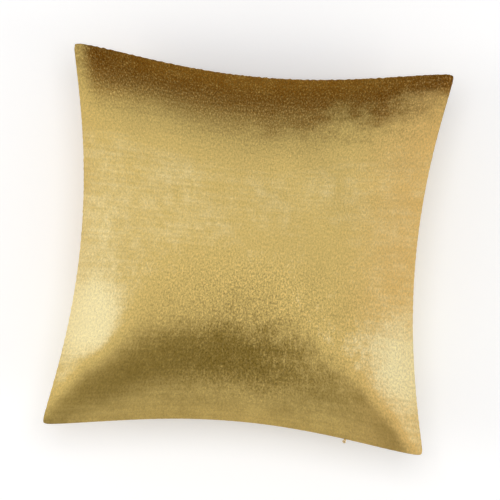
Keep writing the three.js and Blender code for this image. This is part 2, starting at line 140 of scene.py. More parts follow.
class Shader:
    """One material or world and the nodes that are added to it."""

    def __init__(self, owner: bpy.types.ID) -> None:
        """Empties the node tree of a material or a world."""
        owner.use_nodes = True
        self.owner = owner
        self.tree = owner.node_tree
        self.tree.nodes.clear()

    def node(self, kind: str, settings: dict | None = None, inputs: dict | None = None) -> bpy.types.Node:
        """Adds any node.

        Args:
            kind: the node's type.
            settings: its own settings, set first.
            inputs: values or links of its sockets, by name or number.

        Returns:
            The node.
        """
        node = self.tree.nodes.new(kind)
        for name, value in (settings or {}).items():
            setattr(node, name, value)
        for name, value in (inputs or {}).items():
            socket = node.inputs[name]
            if isinstance(value, Value):
                self.tree.links.new(value.socket, socket)
            elif socket.type == "RGBA":
                socket.default_value = (*value, 1.0)
            else:
                socket.default_value = value
        return node

    def add(self, kind: str, settings: dict | None, inputs: dict | None, output: int | str = 0) -> Value:
        """Adds any node and hands back the output that has that name or number."""
        return Value(self, self.node(kind, settings, inputs).outputs[output])

    def close(self, surface: Value, kind: str = "ShaderNodeOutputMaterial") -> bpy.types.ID:
        """Leads a surface to the output node, and hands back the material or world."""
        self.node(kind, None, {"Surface": surface})
        return self.owner

    def blend(self, share: Any, first: Any, second: Any) -> Value:
        """Mixes two colours: the first where share is 0 and the second where it is 1."""
        return self.add("ShaderNodeMix", {"data_type": "RGBA"}, {0: share, 6: first, 7: second}, 2)

    def tint(self, colour: Any, gain: Value) -> Value:
        """Multiplies a colour by a grey gain."""
        return self.add("ShaderNodeVectorMath", {"operation": "SCALE"}, {0: colour, "Scale": gain})

    def stretched(self, vector: Value, by: Sequence[float]) -> Value:
        """A vector multiplied part by part."""
        return self.add("ShaderNodeVectorMath", {"operation": "MULTIPLY"}, {0: vector, 1: by})

    def parts(self, vector: Value) -> list[Value]:
        """The x, y and z of a vector."""
        split = self.node("ShaderNodeSeparateXYZ", None, {0: vector})
        return [Value(self, socket) for socket in split.outputs]

    def noise(self, vector: Value, scale: float, detail: float = 2.0, rough: float = 0.5) -> Value:
        """Soft noise around 0.5, with that many lumps to the metre."""
        inputs = {"Vector": vector, "Scale": scale, "Detail": detail, "Roughness": rough}
        return self.add("ShaderNodeTexNoise", None, inputs, "Fac")

    def cloth(self) -> Value:
        """Where a point is on its flat cloth, in metres."""
        return self.add("ShaderNodeUVMap", {"uv_map": CLOTH_MAP}, None)

    def place(self) -> Value:
        """Where a point is in the object, in metres."""
        return self.add("ShaderNodeTexCoord", None, None, "Object")

    def bump(self, height: Value, depth: float, strength: float = 1.0) -> Value:
        """A normal bent by a height from 0 to 1 that is depth metres deep."""
        return self.add("ShaderNodeBump", None, {"Strength": strength, "Distance": depth, "Height": height})


# ----------------------------------------------- Finishes -----------------------------------------------


@dataclass(frozen=True)
class Finish:
    """A named finish. Each kind of finish gives its own values to a Principled shader."""

    name: str

    def material(self) -> bpy.types.Material:
        """The finish as a new material."""
        shader = Shader(bpy.data.materials.new(self.name))
        return shader.close(shader.add("ShaderNodeBsdfPrincipled", None, self.values(shader)))

    def values(self, shader: Shader) -> dict:
        """What the surface is like, by the names of the Principled shader's sockets."""
        raise NotImplementedError


@dataclass(frozen=True)
class Grain:
    """One unevenness of the pile: soft noise around 0, so many lumps to the metre, which may be stretched."""

    scale: float
    detail: float
    rough: float
    stretch: tuple = (1.0, 1.0, 1.0)

    def over(self, cloth: Value) -> Value:
        """The unevenness at each place of the cloth."""
        shader = cloth.shader
        return shader.noise(shader.stretched(cloth, self.stretch), self.scale, self.detail, self.rough) - 0.5


@dataclass(frozen=True)
class Spot:
    """A soft oval on the panel: its middle and reach across, then its middle and reach up."""

    across: float
    wide: float
    up: float
    high: float

    def on(self, across: Value, up: Value) -> Value:
        """1 in the middle of the spot, falling to 0 around it."""
        return up.hill(self.up, self.high) * across.hill(self.across, self.wide)


@dataclass(frozen=True)
class Velvet(Finish):
    """Brushed gold velvet with a metallic glint, its colour painted with shade and highlights in bands and
    spots over a random pile grain.
    """

    side: Side
    # The dark brown of the painted shade under the top edge.
    deep: tuple = (0.172, 0.063, 0.002)
    # The dull greenish brown of the painted shade along the lower band.
    painted_shade_olive: tuple = (0.190, 0.125, 0.022)
    gold: tuple = (0.640, 0.470, 0.157)
    # A warmer gold for the painted glow towards the right edge.
    painted_warm_glow: tuple = (0.715, 0.485, 0.168)
    # The pale yellow of the painted highlights.
    pale: tuple = (0.900, 0.780, 0.430)
    glint: tuple = (1.0, 0.76, 0.36)
    sheen: tuple = (1.0, 0.78, 0.36)
    thread_pitch: float = 1.1 * MM
    pile_depth: float = 1.6 * MM
    pile: Grain = Grain(460.0, 3.0, 0.7, (1.0, 0.66, 1.0))
    fine: Grain = Grain(1426.0, 2.0, 0.6)
    wander: Grain = Grain(9.0, 3.0, 0.55)
    patches: Grain = Grain(24.0, 4.0, 0.62, (1.0, 0.75, 1.0))
    blots: Grain = Grain(52.0, 3.0, 0.6, (0.7, 1.0, 1.0))
    mottle: Grain = Grain(75.0, 4.0, 0.65)
    rows: Grain = Grain(240.0, 2.0, 0.5, (0.05, 1.0, 1.0))
    streaks: Grain = Grain(300.0, 2.0, 0.6, (1.0, 0.24, 1.0))
    specks: Grain = Grain(560.0, 2.0, 0.6, (1.0, 0.7, 1.0))
    # Painted shade in the middle of the panel.
    painted_middle_shade: Spot = Spot(0.02, 0.38, -0.17, 0.19)
    # Painted shade in the low left corner.
    low_corner: Spot = Spot(-0.72, 0.22, -0.81, 0.10)
    # Painted highlight low on the left edge.
    left_glow: Spot = Spot(-0.88, 0.15, -0.45, 0.16)
    # Painted highlight along the left edge.
    left_band: Spot = Spot(-0.98, 0.26, -0.20, 0.42)
    # Painted highlight low on the right edge.
    right_glow: Spot = Spot(0.93, 0.22, -0.54, 0.24)
    soft_right: Spot = Spot(0.42, 0.30, -0.45, 0.28)
    # Painted shade right of the middle, above the lower band.
    painted_right_shade: Spot = Spot(0.52, 0.26, -0.22, 0.32)

    def _painted_top_shade(self, across: Value, up: Value, cloth: Value) -> Value:
        """The painted shade under the top edge, where the cover curves away from the light: less in the
        corners, ragged towards the right.
        """
        to_right = across.rise(-0.30, 0.70)
        bent = up + self.wander.over(cloth) * 0.14 + self.patches.over(cloth) * (0.12 + to_right * 0.30)
        bent = bent + self.blots.over(cloth) * to_right * 0.36 + self.mottle.over(cloth) * 0.16
        # Painted shade: darker over the top edge's rounded shoulder, fading downwards.
        top_shade = bent.rise(0.50 - across.hill(0.03, 0.50) * 0.14, 0.97)
        right_tip = across.rise(0.60, 0.92) * up.rise(0.96, 0.86) * 0.42
        left_tip = across.rise(-0.88, -1.0) * 0.5
        return top_shade * (1.0 - right_tip) * (1.0 - left_tip)

    def painted_light_and_shade(self, across: Value, up: Value, cloth: Value) -> tuple[Value, Value, Value]:
        """The painted light and shade over the random tone, how brown the painted shade is, and how stirred
        up the pile is.

        The pile lies smooth at the left edge under a painted highlight, painted shade falls under the top
        edge and along an arch above the bottom one, and the pile stands ruffled in upright streaks over that
        arch.

        Args:
            across: the place across the panel, from -1 to 1.
            up: the place up the panel, from -1 to 1.
            cloth: the place on the cloth, in metres.

        Returns:
            The painted light and shade with the random tone, where 0 is painted shade, 0.7 plain gold and 1 a
            painted highlight, the brown share from 0 to 1, and how much coarser the grain is than where the
            pile lies smooth.
        """
        wander, patches, mottle = self.wander.over(cloth), self.patches.over(cloth), self.mottle.over(cloth)
        # Masks of painted shade and painted highlight, and of the stronger mottle right of the lower middle.
        painted_middle_shade, corner, left, band, right, soft_right, painted_right_shade = (
            spot.on(across, up)
            for spot in (
                self.painted_middle_shade, self.low_corner, self.left_glow, self.left_band, self.right_glow, self.soft_right,
                self.painted_right_shade,
            )
        )
        top_shade = self._painted_top_shade(across, up, cloth)
        aside = (across + 0.05) * (across + 0.05)
        arch = up + aside * (aside * 0.40 + 0.10) + 0.61 + wander * 0.06 + patches * 0.05
        # Painted shade along the lower band, which follows the arch.
        slope = arch.rise(0.62 - across.rise(0.05, 0.60) * 0.42 - across.rise(-0.45, -0.90) * 0.41, 0.0)
        dip = arch.rise(-0.24, -0.04) * arch.rise(0.26, 0.02)
        dip = dip * (1.0 - across.rise(0.05, 0.50) * 0.70) * (1.0 - across.rise(-0.50, -0.85) * 0.60)
        lower = up.rise(0.10, -0.30) * up.rise(-0.98, -0.62) * across.hill(0.05, 0.55)
        # Plain gold less painted shade, plus painted highlights, then random tone and grain.
        tone_and_painted_light = 0.685 - top_shade * 0.44 - slope * 0.23 - dip * 0.20 - painted_middle_shade * 0.06 - corner * 0.05 - painted_right_shade * 0.08
        tone_and_painted_light = tone_and_painted_light + left * 0.28 + band * arch.rise(0.0, 0.18) * 0.08 + right * arch.rise(0.0, 0.12) * 0.19
        tone_and_painted_light = tone_and_painted_light + wander * 0.10 + patches * (0.14 + soft_right * 0.34) + self.rows.over(cloth) * 0.10
        tone_and_painted_light = tone_and_painted_light + mottle * (0.12 + soft_right * 0.20 + top_shade * 0.14)
        tone_and_painted_light = tone_and_painted_light + self.streaks.over(cloth) * (0.05 + lower * 0.30)
        specks = self.specks.over(cloth).rise(-0.08, 0.22) - 0.30
        tone_and_painted_light = tone_and_painted_light + specks * (top_shade * 0.22 + lower * 0.12)
        return tone_and_painted_light, top_shade.rise(0.16, 1.0), lower * 1.60 + top_shade * 1.10 - left * 0.45

    def values(self, shader: Shader) -> dict:
        """The colours from painted shade through plain gold to painted highlight, under the pile's grain. The
        back's painted light and shade is mirrored across.
        """
        cloth = shader.cloth()
        across, up, _ = shader.parts(shader.stretched(cloth, (1 / VELVET_HALF,) * 3))
        # The back carries the same painted light and shade, mirrored across.
        if self.side is Side.BACK:
            across = -across
        tone_and_painted_light, brown, stirred = self.painted_light_and_shade(across, up, cloth)
        # The painted shade's colour: greenish along the lower band, browner under the top edge.
        low = shader.blend(brown, self.painted_shade_olive, self.deep)
        # Plain gold, turning to a warmer painted glow towards the right edge.
        full = shader.blend(across.rise(0.45, 0.95), self.gold, self.painted_warm_glow)
        ramp = tone_and_painted_light.rise(0.02, 0.98)
        # From painted shade to plain gold, then on to the pale of the painted highlights.
        colour = shader.blend(ramp.rise(0.0, 0.75), low, full)
        colour = shader.blend(ramp.rise(0.72, 1.0), colour, self.pale)
        pile, fine = self.pile.over(cloth), self.fine.over(cloth)
        warp, weft, _ = shader.parts(shader.stretched(cloth, (math.tau / self.thread_pitch,) * 3))
        weave = warp.sine() * 0.4 + weft.sine() * 0.6
        grain = (pile * 1.15 + fine * 0.40) * (1.0 + stirred) + weave * 0.02
        return {
            "Base Color": shader.tint(colour, 1.0 + grain),
            "Metallic": 0.64 + brown * 0.22,
            "Roughness": 0.43 + pile * 0.30 - (tone_and_painted_light - 0.6) * 0.10,
            "Specular IOR Level": 0.25,
            "Specular Tint": self.glint,
            "Sheen Weight": 0.05,
            "Sheen Roughness": 0.35,
            "Sheen Tint": self.sheen,
            "Normal": shader.bump(pile * 0.62 + fine * 0.30 + weave * 0.03, self.pile_depth, 0.9),
        }


@dataclass(frozen=True)
class Thread(Finish):
    """Twisted sewing thread: a slanting ply along its length and a soft shine."""

    colour: tuple
    shade: float = 0.72
    ply_scale: float = 1800.0

    def values(self, shader: Shader) -> dict:
        """Light and dark plies, in a colour that is worn here and there."""
        x, y, z = shader.parts(shader.place())
        ply = ((x + y + z) * (self.ply_scale * math.pi)).sine() * 0.5 + 0.5
        worn = shader.noise(shader.place(), 160.0, 3.0)
        colour = shader.blend(worn, self.colour, tuple(part * self.shade for part in self.colour))
        return {
            "Base Color": shader.tint(colour, 0.82 + ply * 0.28),
            "Roughness": 0.52 + worn * 0.16,
            "Sheen Weight": 0.35,
            "Normal": shader.bump(ply, 0.06 * MM),
        }


@dataclass(frozen=True)
class Weave(Finish):
    """Plain woven cloth: warp and weft threads that pass over each other, with slubs."""

    colour: tuple
    shade: tuple
    pitch: float
    roughness: float
    sheen: float
    depth: float
    rib: float = 1.0

    def values(self, shader: Shader) -> dict:
        """The threads' crossings, long slubs and a slow change of tone."""
        cloth = shader.cloth()
        turns = math.tau / self.pitch
        warp, weft, _ = shader.parts(shader.stretched(cloth, (turns, turns * self.rib, turns)))
        over = warp.sine() * weft.sine() * 0.5 + 0.5
        slub = shader.noise(shader.stretched(cloth, (1.0, 0.12, 1.0)), 420.0, 3.0, 0.6)
        tone = shader.noise(cloth, 26.0, 3.0)
        return {
            "Base Color": shader.blend(over * 0.5 + slub * 0.35 + tone * 0.15, self.shade, self.colour),
            "Roughness": self.roughness + (slub - 0.5) * 0.14,
            "Sheen Weight": self.sheen,
            "Normal": shader.bump(over * 0.7 + slub * 0.3, self.depth, 0.8),
        }


@dataclass(frozen=True)
class Fibre(Finish):
    """Loose polyester filling: matted white strands."""

    colour: tuple = (0.86, 0.85, 0.82)
    shade: tuple = (0.66, 0.65, 0.62)

    def values(self, shader: Shader) -> dict:
        """Fine strands over soft tufts."""
        place = shader.place()
        strands = shader.noise(shader.stretched(place, (1.0, 0.35, 1.0)), 520.0, 6.0, 0.75)
        tufts = shader.noise(place, 48.0, 4.0, 0.6)
        return {
            "Base Color": shader.blend(strands * 0.6 + tufts * 0.4, self.shade, self.colour),
            "Roughness": 0.88 + strands * 0.1,
            "Sheen Weight": 0.6,
            "Normal": shader.bump(strands * 0.5 + tufts * 0.5, 1.6 * MM),
        }


@dataclass(frozen=True)
class Nylon(Finish):
    """Dyed nylon filament: smooth, with a fine draw line."""

    colour: tuple = (0.33, 0.185, 0.040)
    pale: tuple = (0.46, 0.29, 0.085)

    def values(self, shader: Shader) -> dict:
        """Two shades of the dye under a thin clear gloss."""
        place = shader.place()
        drawn = shader.noise(place, 900.0)
        return {
            "Base Color": shader.blend(shader.noise(place, 40.0), self.colour, self.pale),
            "Roughness": 0.30 + drawn * 0.16,
            "Coat Weight": 0.25,
            "Normal": shader.bump(drawn, 0.03 * MM),
        }


@dataclass(frozen=True)
class ZincPlate(Finish):
    """Gold-plated zinc casting: polished on its high places, dull and speckled in its hollows."""

    bright: tuple = (0.78, 0.56, 0.22)
    dull: tuple = (0.40, 0.26, 0.09)

    def values(self, shader: Shader) -> dict:
        """Brushed plating that is worn in specks."""
        place = shader.place()
        brushed = shader.noise(shader.stretched(place, (0.2, 1.0, 1.0)), 2600.0, 3.0)
        speckle = shader.noise(place, 700.0, 4.0, 0.65)
        worn = speckle.rise(0.36, 0.62)
        return {
            "Base Color": shader.blend(worn, self.dull, self.bright),
            "Metallic": 0.95,
            "Roughness": 0.42 - worn * 0.14 + (brushed - 0.5) * 0.14,
            "Normal": shader.bump(brushed * 0.4 + speckle * 0.6, 0.04 * MM),
        }


@dataclass(frozen=True)
class PaleFloor(Finish):
    """A plain pale floor that keeps the pillow's shadow. The object isn't lit by its lift."""

    colour: tuple = (0.88, 0.88, 0.88)
    lift: float = 0.20

    def values(self, shader: Shader) -> dict:
        """A matt tone, with a lift that only the eye, glossy and see-through rays find."""
        rays = shader.node("ShaderNodeLightPath").outputs
        kinds = ("Camera", "Glossy", "Transmission")
        eye, glossy, through = (Value(shader, rays[f"Is {kind} Ray"]) for kind in kinds)
        clamped = {"operation": "ADD", "use_clamp": True}
        shown = shader.add("ShaderNodeMath", clamped, {0: eye + glossy, 1: through})
        tone = shader.noise(shader.place(), 1.3)
        return {
            "Base Color": shader.tint(self.colour, 0.99 + tone * 0.02),
            "Roughness": 0.9,
            "Specular IOR Level": 0.1,
            "Emission Color": (1.0, 1.0, 1.0),
            "Emission Strength": shown * self.lift,
        }


# ------------------------------------------- Meshes from grids -------------------------------------------


def unit(vectors: np.ndarray) -> np.ndarray:
    """Each vector divided by its own length."""
    return vectors / np.maximum(np.linalg.norm(vectors, axis=-1, keepdims=True), 1e-12)


def grid_normals(points: np.ndarray) -> np.ndarray:
    """The normals of a grid: the step along its first side crossed with the step along its second."""
    return unit(np.cross(np.gradient(points, axis=0), np.gradient(points, axis=1)))


def run_along(line: np.ndarray) -> np.ndarray:
    """The length of a line up to each of its points."""
    return np.concatenate([[0.0], np.cumsum(np.linalg.norm(np.diff(line, axis=0), axis=1))])


def spaced(line: np.ndarray, step: float) -> np.ndarray:
    """The line again with even steps of about that length, read off the old one by its length so far."""
    run = run_along(line)
    places = np.linspace(0.0, run[-1], max(2, round(run[-1] / step) + 1))
    return np.stack([np.interp(places, run, line[:, axis]) for axis in range(3)], axis=1)


def squarer(wave: np.ndarray, power: float) -> np.ndarray:
    """A wave between -1 and 1 brought towards a square one by a power below one of its size."""
    return np.sign(wave) * np.abs(wave) ** power


def eased(share: np.ndarray) -> np.ndarray:
    """A smooth step: three times the square less twice the cube of a share, which is kept within 0 and 1."""
    share = np.clip(share, 0.0, 1.0)
    return share**2 * (3.0 - 2.0 * share)


def square(steps: np.ndarray) -> list[np.ndarray]:
    """The places across and up of a square grid with the same steps both ways."""
    return np.meshgrid(steps, steps, indexing="ij")


def on_rim(u: np.ndarray, v: np.ndarray) -> np.ndarray:
    """Whether each place of a square grid is on its rim."""
    return np.maximum(np.abs(u), np.abs(v)) > 1.0 - 1e-9


def once_round(grid: np.ndarray) -> np.ndarray:
    """The rim of a square grid, once round anticlockwise seen from above, from its first corner."""
    return np.concatenate([grid[:-1, 0], grid[-1, :-1], grid[:0:-1, -1], grid[0, :0:-1]])


def panel_steps(cells: int, ease: float) -> np.ndarray:
    """Places from -1 to 1 that crowd towards both ends: t times (1 + ease) less ease times t cubed."""
    even = np.linspace(-1.0, 1.0, cells + 1)
    return even * (1.0 + ease) - ease * even**3


def looped(line: np.ndarray, reach: float, rise: float, pitch: float) -> tuple[np.ndarray, np.ndarray]:
    """Winds a thread round a level line.

    The thread's distance inwards is the reach times the cosine of its phase, and its height the rise times
    the sine, both brought towards a square.

    Args:
        line: the line's points, evenly spaced.
        reach: how far it goes to either side.
        rise: how far it goes up and down.
        pitch: the length of line to one turn.

    Returns:
        The thread's points and the line's direction at each.
    """
    fine = spaced(line, pitch / LOOP_POINTS)
    along = unit(np.gradient(fine, axis=0))
    phase = math.tau * np.arange(len(fine)) / LOOP_POINTS
    aside = np.cross(UP, along) * (reach * squarer(np.cos(phase), 0.7))[:, None]
    return fine + aside + UP * (rise * squarer(np.sin(phase), 0.45))[:, None], along


class Sheet:
    """Gathers grids of points and the faces between them, and makes them one mesh."""

    def __init__(self) -> None:
        """Starts with no points."""
        self.points: list[np.ndarray] = []
        self.flat: list[np.ndarray] = []
        self.faces: list[list[int]] = []
        self.count = 0

    def add(self, points: np.ndarray, flat: np.ndarray | None = None) -> np.ndarray:
        """Adds a block of points.

        Args:
            points: their places, an array whose last side is 3.
            flat: their places on the flat cloth, an array whose last side is 2.

        Returns:
            Their numbers, in the block's own shape.
        """
        shape = points.shape[:-1]
        size = int(np.prod(shape))
        self.points.append(points.reshape(-1, 3))
        self.flat.append(np.zeros((size, 2)) if flat is None else flat.reshape(-1, 2))
        numbers = np.arange(self.count, self.count + size).reshape(shape)
        self.count += size
        return numbers

    def _face(self, corners: list, turned: bool) -> None:
        """Adds faces from arrays of their first corners, second corners and so on."""
        self.faces += np.stack(corners[::-1] if turned else corners, -1).reshape(-1, len(corners)).tolist()

    def quads(self, grid: np.ndarray, turned: bool = False) -> None:
        """Fills a grid of numbers; its normal is its first side crossed with its second, unless turned."""
        self._face([grid[:-1, :-1], grid[1:, :-1], grid[1:, 1:], grid[:-1, 1:]], turned)

    def rings(self, grid: np.ndarray, turned: bool = False) -> None:
        """Fills a grid of numbers whose last column joins its first."""
        self.quads(np.concatenate([grid, grid[:, :1]], 1), turned)

    def fan(self, tip: int, ring: np.ndarray, turned: bool = False) -> None:
        """Closes a ring of numbers onto one point."""
        self._face([np.full(len(ring), tip), ring, np.roll(ring, -1)], turned)

    def capped(self, grid: np.ndarray, ends: np.ndarray) -> None:
        """Fills a row of rings and closes it onto the two points at its ends, facing outwards."""
        self.rings(grid, turned=True)
        self.fan(ends[0], grid[0], turned=True)
        self.fan(ends[1], grid[-1])

    def step_down(self, fine: np.ndarray, coarse: np.ndarray, turned: bool = False) -> None:
        """Joins a ring to one with half as many points.

        Args:
            fine: the numbers of the finer ring, once round.
            coarse: the numbers of the coarser ring, once round.
            turned: whether the faces point the other way.
        """
        first, middle, last = fine[::2], fine[1::2], np.roll(fine, -2)[::2]
        here, there = coarse, np.roll(coarse, -1)
        for corners in ([first, here, middle], [middle, here, there], [middle, there, last]):
            self._face(corners, turned)

    def tube(self, path: np.ndarray, along: np.ndarray, radius: float, sides: int) -> None:
        """Carries a circle along a path and closes both ends.

        Each ring is the path's point plus the radius times the cosine of its angle along one normal and the
        sine along the other. The first normal is the tangent crossed with the given direction.

        Args:
            path: the path's points.
            along: a direction for each point that the path never runs along.
            radius: the tube's radius.
            sides: how many sides the circle has.
        """
        tangent = unit(np.gradient(path, axis=0))
        first = unit(np.cross(tangent, along))
        second = np.cross(tangent, first)
        angle = np.linspace(0.0, math.tau, sides, endpoint=False)[:, None]
        skin = path[:, None] + radius * (np.cos(angle) * first[:, None] + np.sin(angle) * second[:, None])
        flat = np.stack(np.broadcast_arrays(run_along(path)[:, None], radius * angle[:, 0]), -1)
        self.capped(self.add(skin, flat), self.add(path[[0, -1]]))

    def stitches(self, centres: np.ndarray, along: np.ndarray, half: float, radius: float) -> None:
        """Lays one short rounded stitch at each centre.

        A stitch is an ellipsoid: the sine of its latitude goes along it and the cosine across it.

        Args:
            centres: where they are.
            along: which way each one points.
            half: half of a stitch's length.
            radius: half of its thickness.
        """
        along = unit(along)
        across = unit(np.cross(along, SLANT))
        latitude = np.radians([-50.0, 0.0, 50.0])[:, None]
        longitude = np.linspace(0.0, math.tau, 6, endpoint=False)[None, :]
        parts = (
            half * np.sin(latitude) + 0.0 * longitude,
            radius * np.cos(latitude) * np.cos(longitude),
            radius * np.cos(latitude) * np.sin(longitude),
        )
        axes = (along, across, np.cross(along, across))
        skin = sum(part[None, ..., None] * axis[:, None, None] for part, axis in zip(parts, axes))
        grids = self.add(skin + centres[:, None, None])
        tips = self.add(np.stack([centres - along * half, centres + along * half], 1))
        for grid, ends in zip(grids, tips):
            self.capped(grid, ends)

    def block(self, centre: Sequence[float], half: Sequence[float], radius: float, axes: np.ndarray) -> None:
        """A block with rounded edges.

        Each point is a corner of the block less the radius, in the octant of a sphere's direction, plus the
        radius times that direction. The wide faces span between octants.

        Args:
            centre: its middle, in the axes' own origin.
            half: half of its three sizes.
            radius: its edges' radius.
            axes: three axes as rows, then the origin as a fourth row.
        """
        latitude = np.radians((np.arange(8) + 0.5) * 180.0 / 8 - 90.0)[:, None]
        longitude = np.radians((np.arange(16) + 0.5) * 360.0 / 16)[None, :]
        level = np.cos(latitude)
        way = np.stack(
            np.broadcast_arrays(level * np.cos(longitude), level * np.sin(longitude), np.sin(latitude)), -1
        )
        half = np.asarray(half, float)
        skin = np.sign(way) * (half - radius) + way * radius + np.asarray(centre, float)
        tips = np.array([-UP, UP]) * half[2] + np.asarray(centre, float)
        self.capped(self.add(skin @ axes[:3] + axes[3]), self.add(tips @ axes[:3] + axes[3]))

    def make(self, name: str, material: bpy.types.Material | None, smooth: bool = True) -> bpy.types.Object:
        """Makes the mesh and its object.

        Args:
            name: the piece's name.
            material: its finish, if it has one.
            smooth: whether its faces are shaded as one round surface.

        Returns:
            The object, at the origin.
        """
        mesh = bpy.data.meshes.new(name)
        mesh.from_pydata(np.concatenate(self.points).tolist(), [], self.faces)
        mesh.polygons.foreach_set("use_smooth", np.full(len(mesh.polygons), smooth))
        corner = np.zeros(len(mesh.loops), np.int32)
        mesh.loops.foreach_get("vertex_index", corner)
        layer = mesh.uv_layers.new(name=CLOTH_MAP)
        layer.data.foreach_set("uv", np.concatenate(self.flat)[corner].astype(np.float32).ravel())
        if material:
            mesh.materials.append(material)
        mesh.update()
        piece = bpy.data.objects.new(name, mesh)
        bpy.context.scene.collection.objects.link(piece)
        return piece

    def piece(
        self, name: str, material: bpy.types.Material, slot: str, node: str, body: str = PILLOW,
        smooth: bool = True, fill: float | None = None,
    ) -> bpy.types.Object:
        """Makes a finished piece and stands it in for its CAD node.

        Args:
            name: the piece's name.
            material: its finish.
            slot: not used.
            node: the CAD node that it stands for.
            body: the body that it rides on.
            smooth: whether its faces are shaded as one round surface.
            fill: not used.

        Returns:
            The piece.
        """
        piece = self.make(name, material, smooth)
        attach(piece, body)
        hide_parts(node)
        log.info("%s: %d points, %d faces", name, len(piece.data.vertices), len(piece.data.polygons))
        return piece


# ------------------------------------------- The pillow's form -------------------------------------------


@dataclass(frozen=True)
class PillowForm:
    """The sewn outline, a square whose sides pull in between its corners, and the rise of its two faces."""

    seam: float
    crown: float
    half: float = 217.5 * MM
    pull_x: float = 27.0 * MM
    pull_y: float = 21.5 * MM
    power_x: float = 1.1
    power_y: float = 1.45
    corner_cut: float = 0.0081
    corner_power: float = 82.0
    breadth: float = 2.3
    floor_blend: float = 3.0 * MM

    @staticmethod
    def from_frame() -> "PillowForm":
        """Reads the seam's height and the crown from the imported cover."""
        lowest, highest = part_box("cover_front")
        seam = (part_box("cover_back")[1].z + lowest.z) / 2
        return PillowForm(seam=seam, crown=highest.z - seam)

    def reach(self, u: np.ndarray, v: np.ndarray) -> tuple[np.ndarray, np.ndarray]:
        """How far the seam lies out, to the sides and up.

        It is the half width less the pull, which is greatest at the middle of a side and falls to nothing at
        its corners as (1 - the place along the side squared) to a power.

        Args:
            u: the place across, from -1 to 1.
            v: the place up, from -1 to 1.

        Returns:
            The reach to the sides and the reach up.
        """
        pull_x = self.pull_x * np.clip(1.0 - v**2, 0.0, 1.0) ** self.power_x
        pull_y = self.pull_y * np.clip(1.0 - u**2, 0.0, 1.0) ** self.power_y
        return self.half - pull_x, self.half - pull_y

    def trim(self, along: np.ndarray) -> np.ndarray:
        """What a cut leaves that only counts beside a corner, and rounds it."""
        return 1.0 - self.corner_cut * np.abs(along) ** self.corner_power

    def outline(self, u: np.ndarray, v: np.ndarray, inset: Any = 0.0, soft: bool = True) -> np.ndarray:
        """Where a place on the square lies, seen from above: each place times the seam's reach there.

        Args:
            u: the place across, from -1 to 1.
            v: the place up, from -1 to 1.
            inset: how far inside the seam the outline is.
            soft: whether the corners are rounded.

        Returns:
            x and y.
        """
        if soft:
            u, v = u * self.trim(v), v * self.trim(u)
        reach_x, reach_y = self.reach(u, v)
        return np.stack([u * (reach_x - inset), v * (reach_y - inset)], -1)

    def rim(self, inset: float, height: float) -> tuple[np.ndarray, np.ndarray]:
        """A level line once round the pillow.

        Args:
            inset: how far inside the seam it is.
            height: how high above the seam's plane it is.

        Returns:
            Its points, and each one's place up the pillow from -1 to 1.
        """
        u, v = (once_round(grid) for grid in square(np.linspace(-1.0, 1.0, RIM_STEPS)))
        return np.concatenate([self.outline(u, v, inset), np.full((len(u), 1), self.seam + height)], 1), v

    def rise(self, u: np.ndarray, v: np.ndarray) -> np.ndarray:
        """The plain crown: the square root of (1 - |u| to a power) times (1 - |v| to the same power)."""
        share = (1.0 - np.abs(u) ** self.breadth) * (1.0 - np.abs(v) ** self.breadth)
        return self.crown * np.sqrt(np.clip(share, 0.0, 1.0))

    def pressed(self, height: np.ndarray, lower: float) -> np.ndarray:
        """Presses heights onto the floor, or onto a layer that is lower metres thick.

        Above the blend a height stays; below minus the blend it is 0, and between them it is the square of
        (height + blend) over four blends, which meets both smoothly.

        Args:
            height: heights above the floor.
            lower: the thickness of what lies underneath.

        Returns:
            The new heights.
        """
        above = height - lower
        blend = self.floor_blend
        sloped = (above + blend) ** 2 / (4.0 * blend)
        return lower + np.where(above > blend, above, np.where(above < -blend, 0.0, sloped))


